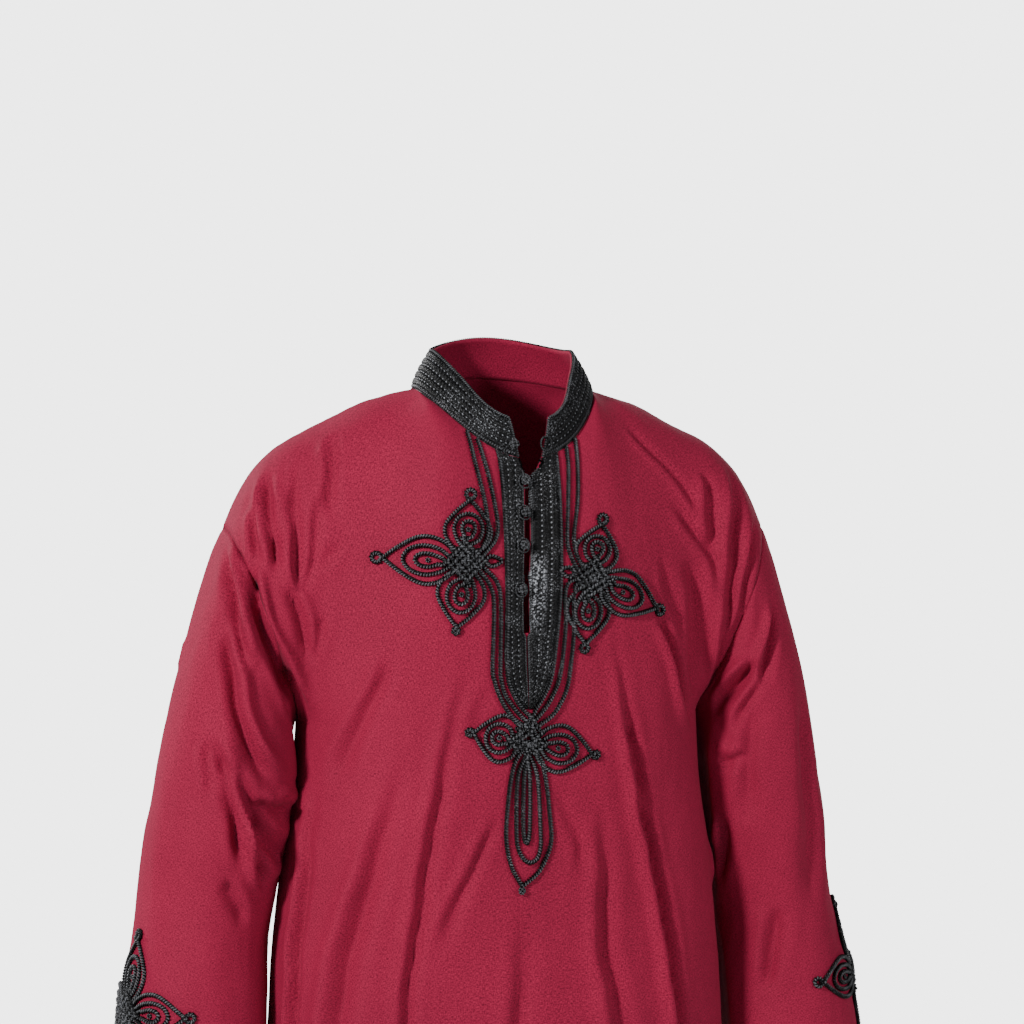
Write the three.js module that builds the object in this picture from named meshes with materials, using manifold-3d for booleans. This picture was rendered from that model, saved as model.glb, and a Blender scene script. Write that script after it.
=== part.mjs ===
// A Moroccan pullover shirt, worn and hollow: a loose tunic of plain-woven cloth with dropped
// shoulders and wide sleeves, a stand collar faced with woven braid, a buttoned neck slit between
// two braid bands, and couched cord in three-lobed knots beside it, below it and on the cuffs.
// Millimetres, +Z up, the front faces -Y and the wearer's left is +X. The origin is the middle of
// the neck at the height of the shoulder seams, where the wearer's shoulders carry the shirt.
import * as THREE from "three";
import { mergeVertices } from "three/addons/utils/BufferGeometryUtils.js";
import Module from "manifold-3d";

const wasm = await Module();
wasm.setup();

const vec = (x, y, z) => new THREE.Vector3(x, y, z);
const rad = THREE.MathUtils.degToRad;
const lerp = THREE.MathUtils.lerp;
const smooth = (x, low, high) => THREE.MathUtils.smoothstep(x, low, high);

// ---------------------------------------------------------------- driving sizes
const cloth = { wall: 1.6, seamGap: 0.3 };
const neck = { halfWidth: 83, front: 88, back: 62, sideY: -18, frontZ: -53, sideZ: 9, backZ: 22 };
const slit = { endRow: 6, halfGap: 2.8, topHalfGap: 12, closesToZ: -76 };
const grid = {
  neckColumns: 5,
  shoulderColumns: 7,
  armRows: 9,
  skirtRows: 13,
  sleeveTurnRows: 5,
  sleeveRows: 10,
};
const cord = { halfWidth: 1.7, height: 2.6, lift: 0.5, clearance: 0.4 };

// Shoulder seam, from the side of the neck to the top of the dropped sleeve seam.
const shoulderSeam = new THREE.CatmullRomCurve3([
  vec(83, -18, 9),
  vec(108, -9, 3),
  vec(134, -3, -5),
  vec(168, 1, -22),
  vec(201, 2, -39),
  vec(227, 2, -60),
  vec(244, 3, -86),
  vec(257, 4, -116),
]);

// Sections of the body below the underarm: half width, and depth before and behind the side seams.
const torso = [
  { z: -290, halfWidth: 190, front: 116, back: 102 },
  { z: -365, halfWidth: 196, front: 115, back: 96 },
  { z: -440, halfWidth: 206, front: 115, back: 94 },
  { z: -520, halfWidth: 214, front: 117, back: 97 },
  { z: -650, halfWidth: 222, front: 121, back: 106 },
  { z: -800, halfWidth: 230, front: 127, back: 118 },
];
const torsoRoundness = 2.4; // superellipse exponent: 2 is an ellipse, more is squarer

// Sections of a sleeve below the turn of the shoulder.
const sleeve = [
  { z: -345, x: 252, halfWidth: 65, y: 8, halfDepth: 72 },
  { z: -400, x: 261, halfWidth: 66, y: 13, halfDepth: 72 },
  { z: -450, x: 269, halfWidth: 63, y: 18, halfDepth: 70 },
  { z: -490, x: 277, halfWidth: 61, y: 16, halfDepth: 68 },
  { z: -540, x: 283, halfWidth: 67, y: 10, halfDepth: 68 },
  { z: -650, x: 290, halfWidth: 69, y: -4, halfDepth: 68 },
];
const sleeveClearance = 8; // from the body that the sleeve hangs against

// The braid-covered neck slit: where its middle and the middle of its bands lie, and how far the
// bands reach to each side.
const placket = [
  { z: -44, slit: 8, middle: 5, halfWidth: 33 },
  { z: -60, slit: 6, middle: 4.8, halfWidth: 29 },
  { z: -81, slit: 2.5, middle: 5.8, halfWidth: 28 },
  { z: -130, slit: 0, middle: 5.3, halfWidth: 27.3 },
  { z: -179, slit: -3.5, middle: 3.7, halfWidth: 26.3 },
  { z: -232, slit: -3.5, middle: -0.3, halfWidth: 24 },
  { z: -251, slit: -3, middle: -2, halfWidth: 19 },
  { z: -266, slit: -2.5, middle: -2.5, halfWidth: 11.5 },
  { z: -276, slit: -2.5, middle: -2.5, halfWidth: 4.5 },
];
const braid = { clearance: 0.7, thickness: 1.3, ribHeight: 0.7, ribs: 5 };
const bands = { rows: 12, topZ: -56, meetAtZ: -225 };
const collar = { rows: 10, height: 36, lean: 19, frontLean: -6, wall: 2, gap: 0.5, flare: 8 };
const loop = { radius: 6.4, wire: 1.1 };
// The knotted ball buttons on the slit, from the top down.
const buttons = [
  { x: -0.6, z: -74 },
  { x: -2.4, z: -102 },
  { x: -5, z: -131 },
  { x: -8.5, z: -170 },
];

// ---------------------------------------------------------------- folds
// Each fold is a line on the cloth seen from the front or the back, by its x and z. Depth is how
// far its trough goes in, width its half width, and ridge the share that stands up beside it, on
// the +X side of a fold that runs down, or on the -X side where it is negative.
const frontFolds = [
  {
    depth: 7, width: 16, ridge: 0.8,
    line: [[-183, -56], [-188, -100], [-194, -147], [-191, -196], [-183, -251]],
  },
  { depth: 5, width: 15, ridge: -0.7, line: [[-162, -40], [-166, -83], [-181, -138], [-189, -186]] },
  { depth: 6, width: 17, ridge: -0.5, line: [[-141, -27], [-153, -54], [-155, -80], [-156, -107]] },
  { depth: 4, width: 19, ridge: 0.4, line: [[-127, -92], [-146, -117], [-171, -144]] },
  { depth: 5, width: 16, ridge: 0.8, line: [[-220, -63], [-215, -100], [-208, -138], [-197, -176]] },
  { depth: 7, width: 25, ridge: -0.5, line: [[-122, -216], [-137, -255], [-155, -299], [-179, -341]] },
  {
    depth: 11, width: 32, ridge: 0.7,
    line: [[-104, -283], [-120, -328], [-132, -377], [-151, -438], [-170, -520], [-179, -632],
      [-183, -830]],
  },
  {
    depth: 9, width: 19, ridge: -0.9,
    line: [[-64, -283], [-83, -357], [-98, -418], [-110, -500], [-118, -612], [-122, -830]],
  },
  { depth: 4, width: 20, ridge: 0.5, line: [[-77, -244], [-89, -287], [-100, -335]] },
  { depth: 6, width: 26, ridge: 0.6, line: [[-17, -478], [-33, -555], [-42, -660], [-46, -830]] },
  {
    depth: 10, width: 17, ridge: -0.9,
    line: [[79, -182], [87, -230], [97, -278], [109, -339], [120, -402], [132, -459], [143, -532],
      [151, -651], [154, -830]],
  },
  {
    depth: 7, width: 20, ridge: 0.7,
    line: [[129, -188], [143, -225], [152, -268], [164, -306], [176, -354]],
  },
  {
    depth: 9, width: 17, ridge: -0.8,
    line: [[108, -15], [147, -52], [183, -98], [199, -138], [205, -196], [199, -251]],
  },
  { depth: 6, width: 15, ridge: 0.6, line: [[187, -63], [198, -100], [201, -144]] },
  { depth: 5, width: 23, ridge: -0.4, line: [[145, -80], [170, -107], [193, -136]] },
  { depth: 6, width: 23, ridge: 0.4, line: [[125, -132], [135, -170], [143, -205]] },
  {
    depth: 8, width: 29, ridge: 0.6,
    line: [[29, -356], [49, -425], [60, -478], [75, -555], [85, -660], [89, -830]],
  },
  { depth: 4, width: 19, ridge: -0.5, line: [[66, -369], [85, -439], [91, -488]] },
];
const backFolds = [
  {
    depth: 9, width: 25, ridge: 0.6,
    line: [[-150, -130], [-142, -240], [-128, -380], [-118, -560], [-112, -830]],
  },
  { depth: 8, width: 20, ridge: -0.7, line: [[-74, -240], [-60, -380], [-52, -560], [-46, -830]] },
  { depth: 6, width: 22, ridge: 0.5, line: [[6, -330], [14, -480], [20, -640], [22, -830]] },
  { depth: 9, width: 21, ridge: -0.7, line: [[86, -210], [80, -360], [86, -540], [92, -830]] },
  {
    depth: 8, width: 25, ridge: 0.6,
    line: [[158, -140], [150, -260], [152, -420], [160, -600], [166, -830]],
  },
  { depth: 7, width: 15, ridge: 0.7, line: [[-196, -70], [-206, -130], [-206, -200]] },
  { depth: 7, width: 15, ridge: -0.7, line: [[194, -66], [205, -128], [204, -196]] },
  { depth: 5, width: 19, ridge: 0.5, line: [[-120, -52], [-150, -110], [-180, -170]] },
  { depth: 5, width: 19, ridge: -0.5, line: [[118, -56], [148, -116], [176, -176]] },
];
const sleeveFolds = [
  { depth: 7, width: 15, ridge: 0.8, line: [[-274, -132], [-267, -180], [-258, -225], [-247, -268]] },
  { depth: 8, width: 15, ridge: -0.8, line: [[-250, -146], [-246, -176], [-232, -218], [-210, -268]] },
  {
    depth: 9, width: 20, ridge: -0.7,
    line: [[-276, -230], [-266, -280], [-252, -330], [-232, -368], [-212, -384]],
  },
  { depth: 8, width: 17, ridge: -0.7, line: [[-280, -322], [-258, -372], [-240, -412], [-218, -430]] },
  { depth: 6, width: 18, ridge: 0.6, line: [[-292, -300], [-280, -352], [-268, -394], [-254, -446]] },
  { depth: 6, width: 22, ridge: 0.5, line: [[-310, -420], [-304, -480], [-298, -560], [-296, -670]] },
  { depth: 6, width: 15, ridge: -0.7, line: [[240, -104], [231, -154], [222, -205]] },
  { depth: 7, width: 15, ridge: 0.8, line: [[262, -140], [258, -200], [246, -249], [230, -284]] },
  { depth: 8, width: 15, ridge: 0.8, line: [[216, -300], [230, -270], [250, -244], [272, -232]] },
  { depth: 6, width: 17, ridge: -0.6, line: [[222, -334], [240, -300], [262, -276]] },
  { depth: 7, width: 20, ridge: 0.6, line: [[246, -332], [232, -342], [218, -350]] },
  { depth: 6, width: 21, ridge: -0.6, line: [[262, -440], [252, -500], [246, -560], [248, -670]] },
  { depth: 5, width: 21, ridge: 0.5, line: [[290, -330], [296, -400], [304, -480]] },
];
const sleeveBackFolds = [
  { depth: 8, width: 18, ridge: 0.7, line: [[-300, -230], [-280, -290], [-252, -340], [-226, -372]] },
  { depth: 7, width: 18, ridge: 0.6, line: [[-306, -330], [-284, -380], [-250, -420]] },
  { depth: 6, width: 20, ridge: -0.5, line: [[-262, -450], [-272, -540], [-276, -670]] },
  { depth: 8, width: 18, ridge: -0.7, line: [[296, -220], [276, -284], [248, -336], [224, -366]] },
  { depth: 7, width: 18, ridge: -0.6, line: [[304, -320], [282, -372], [250, -412]] },
  { depth: 6, width: 20, ridge: 0.5, line: [[268, -450], [280, -540], [286, -670]] },
];

// ---------------------------------------------------------------- small helpers
// A column of a table at a height, smoothly between its rows.
function sizeAt(table, column, z) {
  const values = table.map((row) => row[column]);
  let i = table.findIndex((row, k) => k > 0 && z >= row.z);
  if (i < 0) i = table.length - 1;
  const t = THREE.MathUtils.clamp((z - table[i - 1].z) / (table[i].z - table[i - 1].z), 0, 1);
  const before = values[Math.max(i - 2, 0)];
  const after = values[Math.min(i + 1, values.length - 1)];
  const slopeIn = (values[i] - before) / 2;
  const slopeOut = (after - values[i - 1]) / 2;
  return hermite(values[i - 1], slopeIn, values[i], slopeOut, t);
}

function hermite(start, startSlope, end, endSlope, t) {
  const t2 = t * t;
  const t3 = t2 * t;
  const along = (2 * t3 - 3 * t2 + 1) * start + (3 * t2 - 2 * t3) * end;
  return along + (t3 - 2 * t2 + t) * startSlope + (t3 - t2) * endSlope;
}

const hermitePoint = (a, slopeA, b, slopeB, t) =>
  vec(...["x", "y", "z"].map((axis) => hermite(a[axis], slopeA[axis], b[axis], slopeB[axis], t)));

// ---------------------------------------------------------------- plain form of the body
const neckShare = grid.neckColumns / (grid.neckColumns + grid.shoulderColumns);
const outward = { front: -1, back: 1 };

// A point of the neckline, from its middle at 0 to the side of the neck at 1.
function necklinePoint(face, share) {
  const angle = rad(90 * share);
  const depth = outward[face] * neck[face] - neck.sideY;
  return vec(
    neck.halfWidth * Math.sin(angle),
    neck.sideY + depth * Math.cos(angle),
    lerp(neck[face + "Z"], neck.sideZ, Math.sin(angle) ** 2),
  );
}

// The top edge of a body panel: the neckline, then the shoulder seam.
function topEdge(face, s) {
  if (s <= neckShare) return necklinePoint(face, s / neckShare);
  return shoulderSeam.getPoint((s - neckShare) / (1 - neckShare));
}

function torsoPoint(face, s, z) {
  const angle = rad(90 * s);
  const power = 2 / torsoRoundness;
  return vec(
    sizeAt(torso, "halfWidth", z) * Math.sin(angle) ** power,
    outward[face] * sizeAt(torso, face, z) * Math.max(Math.cos(angle), 0) ** power,
    z,
  );
}

// The wearer's left half of a body panel: s runs from the middle to the sleeve and side seams, and
// t from the top edge (0) past the underarm (1) to the hem (2).
function bodyPoint(face, s, t) {
  const underarmZ = torso[0].z;
  if (t >= 1) return torsoPoint(face, s, lerp(underarmZ, torso.at(-1).z, t - 1));
  const out = outward[face];
  const start = topEdge(face, s);
  const end = torsoPoint(face, s, underarmZ);
  const overShoulder = smooth(s, 0, neckShare);
  const roundArm = smooth(s, 0.72, 1);
  const startSlope = vec(
    lerp(0, -10, roundArm),
    out * lerp(face === "front" ? 56 : 130, 245, overShoulder),
    lerp(-226, -25, overShoulder),
  );
  const endSlope = vec(lerp(0, -40, roundArm), -out * lerp(8, 245, roundArm), lerp(-236, -100, roundArm));
  return hermitePoint(start, startSlope, end, endSlope, t);
}

// ---------------------------------------------------------------- panels as grids of points
// A panel's rows run down and its columns run so that down x across points out of the cloth.
const halfColumns = grid.neckColumns + grid.shoulderColumns;
const bodyRows = grid.armRows + grid.skirtRows;
const bodyT = (row) =>
  row <= grid.armRows ? row / grid.armRows : 1 + (row - grid.armRows) / grid.skirtRows;

// How far the front's two middle columns stand off the middle, along the neck slit.
function slitHalfGap(z) {
  return lerp(slit.topHalfGap, slit.halfGap, smooth(-z, -neck.frontZ - 6, -slit.closesToZ));
}

// How far the neck slit's drift carries the kth column from it.
function slitDrift(k, z) {
  return placketAt("slit", z) * (1 - smooth(k, 1, 5));
}

const placketAt = (column, z) =>
  sizeAt(placket, column, THREE.MathUtils.clamp(z, placket.at(-1).z, placket[0].z));

function frontPanel() {
  const points = [];
  for (let row = 0; row <= bodyRows; row++) {
    const half = [];
    for (let k = 0; k <= halfColumns; k++) half.push(bodyPoint("front", k / halfColumns, bodyT(row)));
    const middleZ = half[0].z;
    const gap = slitHalfGap(middleZ);
    half[0].lerp(half[1], gap / half[1].x);
    const side = (k, sign) => vec(half[k].x * sign + slitDrift(k, middleZ), half[k].y, half[k].z);
    const left = half.map((p, k) => side(k, -1)).reverse();
    points.push([...left, ...half.map((p, k) => side(k, 1))]);
  }
  const middle = halfColumns;
  return { points, missing: (row, column) => column === middle && row < slit.endRow };
}

function backPanel() {
  const points = [];
  for (let row = 0; row <= bodyRows; row++) {
    const line = [];
    for (let k = halfColumns; k >= -halfColumns; k--) {
      const p = bodyPoint("back", Math.abs(k) / halfColumns, bodyT(row));
      line.push(vec(Math.sign(k) * p.x, p.y, p.z));
    }
    points.push(line);
  }
  return { points, missing: () => false };
}

// A ring of the sleeve, from its outer side (0) by the front, underarm and back.
const ringColumns = 2 * grid.armRows;

function seamRing() {
  const ring = [];
  for (let k = 0; k < ringColumns; k++) {
    const face = k <= grid.armRows ? "front" : "back";
    const t = (k <= grid.armRows ? k : ringColumns - k) / grid.armRows;
    ring.push(bodyPoint(face, 1, t));
  }
  return ring;
}

function sleeveRing(z) {
  const ring = [];
  for (let k = 0; k < ringColumns; k++) {
    const angle = (2 * Math.PI * k) / ringColumns;
    const p = vec(
      sizeAt(sleeve, "x", z) + sizeAt(sleeve, "halfWidth", z) * Math.cos(angle),
      sizeAt(sleeve, "y", z) - sizeAt(sleeve, "halfDepth", z) * Math.sin(angle),
      z,
    );
    ring.push(besideTorso(p));
  }
  return ring;
}

// Moves a point of a sleeve out of the way of the body it hangs against.
function besideTorso(p, share = 1) {
  if (p.z > torso[0].z) return p;
  const depth = sizeAt(torso, p.y < 0 ? "front" : "back", p.z);
  const room = Math.max(1 - (Math.abs(p.y) / depth) ** torsoRoundness, 0) ** (1 / torsoRoundness);
  const edge = sizeAt(torso, "halfWidth", p.z) * room + sleeveClearance * share;
  return p.x < edge ? vec(edge, p.y, p.z) : p;
}

function sleevePanel(side) {
  const seam = seamRing();
  const first = sleeveRing(sleeve[0].z);
  const rows = [];
  for (let row = 0; row < grid.sleeveTurnRows; row++) {
    const t = row / grid.sleeveTurnRows;
    rows.push(
      seam.map((start, k) => {
        const outer = (1 + Math.cos((2 * Math.PI * k) / ringColumns)) / 2;
        const startSlope = vec(lerp(14, 84, outer), lerp(8, 10, outer), lerp(-50, -190, outer));
        const endSlope = vec(lerp(12, 32, outer), lerp(14, 8, outer), lerp(-62, -215, outer));
        return besideTorso(hermitePoint(start, startSlope, first[k], endSlope, t), t * t);
      }),
    );
  }
  for (let row = 0; row <= grid.sleeveRows; row++) {
    rows.push(sleeveRing(lerp(sleeve[0].z, sleeve.at(-1).z, row / grid.sleeveRows)));
  }
  const points = rows.map((ring) => {
    const placed = ring.map((p) => vec(p.x * side, p.y, p.z));
    return side < 0 ? placed : [placed[0], ...placed.slice(1).reverse()];
  });
  // The underarm, where the cloth doubles back, is pulled a little further off the body.
  const pull = (row, column) => 0.2 + 2.2 * (1 - smooth(Math.abs(column - ringColumns / 2), 0.5, 4));
  return { points, closed: true, missing: () => false, pull };
}

// ---------------------------------------------------------------- normals shared by all panels
const columnsOf = (panel) => panel.points[0].length;
const wrap = (panel, column) => (panel.closed ? (column + columnsOf(panel)) % columnsOf(panel) : column);
const quadColumns = (panel) => (panel.closed ? columnsOf(panel) : columnsOf(panel) - 1);
const keyOf = (p) => [p.x, p.y, p.z].map((n) => Math.round(n * 50)).join();

function forEachQuad(panel, visit) {
  for (let row = 0; row < panel.points.length - 1; row++) {
    for (let column = 0; column < quadColumns(panel); column++) {
      if (!panel.missing(row, column)) visit(row, column, wrap(panel, column + 1));
    }
  }
}

// Gives each panel its normals. Points that lie on a common seam share one.
function addNormals(panels) {
  const sums = new Map();
  const sumAt = (p) => sums.get(keyOf(p)) ?? sums.set(keyOf(p), vec(0, 0, 0)).get(keyOf(p));
  for (const panel of panels) {
    forEachQuad(panel, (row, column, next) => {
      const corners = [
        panel.points[row][column],
        panel.points[row + 1][column],
        panel.points[row + 1][next],
        panel.points[row][next],
      ];
      const across = corners[2].clone().sub(corners[0]);
      const other = corners[3].clone().sub(corners[1]);
      const normal = across.cross(other).normalize();
      for (const corner of corners) sumAt(corner).add(normal);
    });
  }
  for (const panel of panels) {
    panel.normals = panel.points.map((line) => line.map((p) => sumAt(p).clone().normalize()));
  }
}

// ---------------------------------------------------------------- places on a panel
// The facets of a quad, each as three [row, column] corners, split as its solid is.
const facets = (row, column, next) => [
  [[row, column], [row + 1, column], [row + 1, next]],
  [[row, column], [row + 1, next], [row, next]],
];

// The point and normal where a line along Y at (x, z) meets a panel on its front or back face. A
// place just off the panel's edge takes the plane of the nearest facet.
function onPanel(panel, face, x, z) {
  let best = null;
  forEachQuad(panel, (row, column, next) => {
    for (const corners of facets(row, column, next)) {
      const [a, b, c] = corners.map(([i, j]) => panel.points[i][j]);
      const area = (b.x - a.x) * (c.z - a.z) - (c.x - a.x) * (b.z - a.z);
      if (area * outward[face] > -1e-9) continue;
      const wb = ((x - a.x) * (c.z - a.z) - (c.x - a.x) * (z - a.z)) / area;
      const wc = ((b.x - a.x) * (z - a.z) - (x - a.x) * (b.z - a.z)) / area;
      const inside = Math.min(wb, wc, 1 - wb - wc, 0);
      if (best && inside < best.inside - 1e-6) continue;
      const mix = (values) => {
        const [p, q, r] = corners.map(([i, j]) => values[i][j]);
        return vec(0, 0, 0).addScaledVector(p, 1 - wb - wc).addScaledVector(q, wb).addScaledVector(r, wc);
      };
      const point = mix(panel.points);
      const nearer = best && inside < best.inside + 1e-6;
      if (nearer && (point.y - best.point.y) * outward[face] < 0) continue;
      best = { point, normal: mix(panel.normals).normalize(), inside };
    }
  });
  return best;
}

// The point and normal at a fractional row and column of a panel, on its facets.
function atRowColumn(panel, row, column) {
  const r = Math.min(Math.floor(row), panel.points.length - 2);
  const c = Math.floor(column);
  const v = row - r;
  const u = column - c;
  const [top, bottom] = [r, r + 1];
  const [near, far] = [wrap(panel, c), wrap(panel, c + 1)];
  const mix = (values) => {
    const sum = vec(0, 0, 0).addScaledVector(values[top][near], 1 - Math.max(u, v));
    if (v >= u) sum.addScaledVector(values[bottom][near], v - u).addScaledVector(values[bottom][far], u);
    else sum.addScaledVector(values[top][far], u - v).addScaledVector(values[bottom][far], v);
    return sum;
  };
  return { point: mix(panel.points), normal: mix(panel.normals).normalize() };
}

// ---------------------------------------------------------------- folding the cloth
const foldEnd = 0.22; // share of a fold's length over which it fades in and out
const foldReach = 3.2; // half widths beyond which a fold is flat

function preparedFolds(panels, face, folds) {
  return folds.map((fold) => {
    const curve = new THREE.CatmullRomCurve3(fold.line.map(([x, z]) => vec(x, 0, z)));
    const path = curve.getSpacedPoints(4 * fold.line.length).map((p) => {
      const hits = panels.map((panel) => onPanel(panel, face, p.x, Math.max(p.z, -798))).filter(Boolean);
      const y = hits.length ? hits[0].point.y : 0;
      return vec(p.x, y, p.z);
    });
    return { ...fold, face, path };
  });
}

// How far a fold moves a point along its normal.
function foldAt(fold, point, normal) {
  if (normal.y * outward[fold.face] < -0.25) return 0;
  let nearest = null;
  for (let i = 0; i < fold.path.length - 1; i++) {
    const along = fold.path[i + 1].clone().sub(fold.path[i]);
    const t = THREE.MathUtils.clamp(point.clone().sub(fold.path[i]).dot(along) / along.lengthSq(), 0, 1);
    const away = point.clone().sub(fold.path[i].clone().addScaledVector(along, t));
    if (!nearest || away.length() < nearest.distance) {
      const side = Math.sign(away.x * -along.z + away.z * along.x) || 1;
      nearest = { distance: away.length(), side, share: (i + t) / (fold.path.length - 1) };
    }
  }
  const q = (nearest.distance / fold.width) * nearest.side * Math.sign(fold.ridge);
  if (Math.abs(q) > foldReach) return 0;
  const ends = smooth(nearest.share, 0, foldEnd) * (1 - smooth(nearest.share, 1 - foldEnd, 1));
  const trough = Math.exp(-q * q);
  const ridge = Math.abs(fold.ridge) * Math.exp(-(((q - 1.5) / 0.95) ** 2));
  return fold.depth * ends * (ridge - trough);
}

// The share of a fold that is left where the embroidery stiffens the cloth around the neck slit.
function embroideredStillness(point) {
  const across = 1 - smooth(Math.abs(point.x), 40, 110);
  const down = smooth(point.z, -420, -330);
  return point.y < 0 ? 1 - 0.75 * across * down : 1;
}

function foldCloth(panels, folds) {
  const moved = panels.map((panel) =>
    panel.points.map((line, row) =>
      line.map((p, column) => {
        const normal = panel.normals[row][column];
        const move = folds.reduce((sum, fold) => sum + foldAt(fold, p, normal), 0);
        return p.clone().addScaledVector(normal, move * embroideredStillness(p));
      }),
    ),
  );
  panels.forEach((panel, i) => {
    panel.points = moved[i];
  });
}

const front = frontPanel();
const back = backPanel();
const rightSleeve = sleevePanel(-1);
const leftSleeve = sleevePanel(1);
const clothPanels = [front, back, rightSleeve, leftSleeve];
addNormals(clothPanels);
foldCloth(clothPanels, [
  ...preparedFolds([front], "front", frontFolds),
  ...preparedFolds([back], "back", backFolds),
  ...preparedFolds([rightSleeve, leftSleeve, front], "front", sleeveFolds),
  ...preparedFolds([rightSleeve, leftSleeve, back], "back", sleeveBackFolds),
]);
addNormals(clothPanels);

// ---------------------------------------------------------------- solids from grids
// A closed solid between an outer and an inner grid of points, walled along every free edge.
function slab(panel, outer, inner) {
  const width = columnsOf(panel);
  const count = panel.points.length * width;
  const index = (row, column) => row * width + column;
  const positions = [...outer.flat(), ...inner.flat()].flatMap((p) => [p.x, p.y, p.z]);
  const faces = [];
  const edges = new Map();
  forEachQuad(panel, (row, column, next) => {
    for (const corners of facets(row, column, next)) {
      const [a, b, c] = corners.map(([i, j]) => index(i, j));
      faces.push(a, b, c, count + a, count + c, count + b);
      for (const [from, to] of [[a, b], [b, c], [c, a]]) {
        if (edges.has(to + "," + from)) edges.delete(to + "," + from);
        else edges.set(from + "," + to, [from, to]);
      }
    }
  });
  for (const [from, to] of edges.values()) {
    faces.push(to, from, count + to, from, count + from, count + to);
  }
  const geometry = new THREE.BufferGeometry();
  geometry.setAttribute("position", new THREE.Float32BufferAttribute(positions, 3));
  geometry.setIndex(faces);
  return geometry;
}

// Moves a panel's free edges back towards its middle, so that neighbours stay a seam gap apart.
function pulledBack(panel, points) {
  const used = new Set();
  forEachQuad(panel, (row, column, next) => {
    for (const i of [row, row + 1]) for (const j of [column, next]) used.add(i + "," + j);
  });
  const quadAt = (row, column) =>
    row >= 0 &&
    row < panel.points.length - 1 &&
    (panel.closed || (column >= 0 && column < quadColumns(panel))) &&
    !panel.missing(row, wrap(panel, column));
  return points.map((line, row) =>
    line.map((p, column) => {
      if (!used.has(row + "," + column)) return p.clone();
      const above = quadAt(row - 1, column - 1) || quadAt(row - 1, column);
      const below = quadAt(row, column - 1) || quadAt(row, column);
      const before = quadAt(row - 1, column - 1) || quadAt(row, column - 1);
      const after = quadAt(row - 1, column) || quadAt(row, column);
      const moved = p.clone();
      const pull = panel.pull?.(row, column) ?? cloth.seamGap / 2 + 0.05;
      const towards = (other) => moved.addScaledVector(other.clone().sub(p).normalize(), pull);
      if (!above && below) towards(points[row + 1][column]);
      if (!below && above) towards(points[row - 1][column]);
      if (!before && after) towards(points[row][wrap(panel, column + 1)]);
      if (!after && before) towards(points[row][wrap(panel, column - 1)]);
      return moved;
    }),
  );
}

const offset = (panel, distance) =>
  panel.points.map((line, row) =>
    line.map((p, column) => p.clone().addScaledVector(panel.normals[row][column], distance)),
  );

function clothSolid(panel, wall) {
  return slab(panel, pulledBack(panel, panel.points), pulledBack(panel, offset(panel, -wall)));
}

// Joins closed geometries into one solid.
function united(geometries) {
  const solids = geometries.map((geometry) => {
    const bare = geometry.clone();
    bare.deleteAttribute("normal");
    bare.deleteAttribute("uv");
    const merged = mergeVertices(bare, 1e-4);
    const mesh = new wasm.Mesh({
      numProp: 3,
      vertProperties: merged.attributes.position.array,
      triVerts: new Uint32Array(merged.index.array),
    });
    return new wasm.Manifold(mesh);
  });
  const shells = solids.reduce((sum, solid) => sum.add(solid)).decompose();
  const outer = shells.filter((shell) => shell.volume() > 0);
  const joined = outer.reduce((sum, shell) => sum.add(shell)).simplify(0.02).getMesh();
  const geometry = new THREE.BufferGeometry();
  geometry.setAttribute("position", new THREE.Float32BufferAttribute(joined.vertProperties, 3));
  geometry.setIndex(new THREE.BufferAttribute(joined.triVerts, 1));
  return geometry;
}

// ---------------------------------------------------------------- collar
// Columns follow the neckline from one side of the slit round the back to the other.
function collarPanel() {
  const steps = grid.neckColumns;
  const stops = [];
  for (let k = 0; k <= steps; k++) stops.push({ face: "front", share: k / steps, side: -1 });
  for (let k = steps - 1; k >= 0; k--) stops.push({ face: "back", share: k / steps, side: -1 });
  const mirrored = stops.slice(0, -1).reverse();
  const all = [...stops, ...mirrored.map((stop) => ({ ...stop, side: 1 }))];
  const points = [];
  for (let row = 0; row <= collar.rows; row++) {
    const rise = 1 - row / collar.rows;
    points.push(
      all.map(({ face, share, side }) => {
        const base = necklinePoint(face, share);
        const atFront = face === "front" ? 1 - smooth(share, 0, 0.6) : 0;
        const drift = face === "front" ? slitDrift(share * steps, neck.frontZ) : 0;
        const beside = necklinePoint(face, 1 / steps);
        if (face === "front" && share === 0) base.lerp(beside, slitHalfGap(neck.frontZ) / beside.x);
        const lean = lerp(collar.lean, collar.frontLean * -1, atFront) * rise;
        const flare = atFront * collar.flare * rise;
        const inward = vec(-base.x, -base.y, 0).normalize();
        const bow = 1.6 * Math.sin(Math.PI * rise);
        base.addScaledVector(inward, lean - bow);
        base.z += collar.gap + collar.height * rise;
        return vec(side * (base.x + flare) + drift, base.y, base.z);
      }),
    );
  }
  return { points: points.map((line) => line.reverse()), missing: () => false };
}

const collarStand = collarPanel();
addNormals([collarStand]);
const collarRows = (everyNth) => {
  const keep = (list) => list.filter((line, row) => row % everyNth === 0);
  return { ...collarStand, points: keep(collarStand.points), normals: keep(collarStand.normals) };
};

// Braid with ribs along it: its outer points rise and fall from row to row or column to column.
const ribAt = (index) => braid.clearance + braid.thickness + (index % 2 ? braid.ribHeight : 0);

function collarBraid() {
  const panel = { ...collarStand };
  const within = (points) =>
    points.map((line, row) => {
      const last = points.length - 1;
      if (row === 0) return line.map((p, k) => p.clone().lerp(points[1][k], 0.4));
      if (row === last) return line.map((p, k) => p.clone().lerp(points[last - 1][k], 0.1));
      return line.map((p) => p.clone());
    });
  const outer = panel.points.map((line, row) =>
    line.map((p, column) => p.clone().addScaledVector(panel.normals[row][column], ribAt(row))),
  );
  return slab(panel, within(outer), within(offset(panel, braid.clearance)));
}

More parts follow.
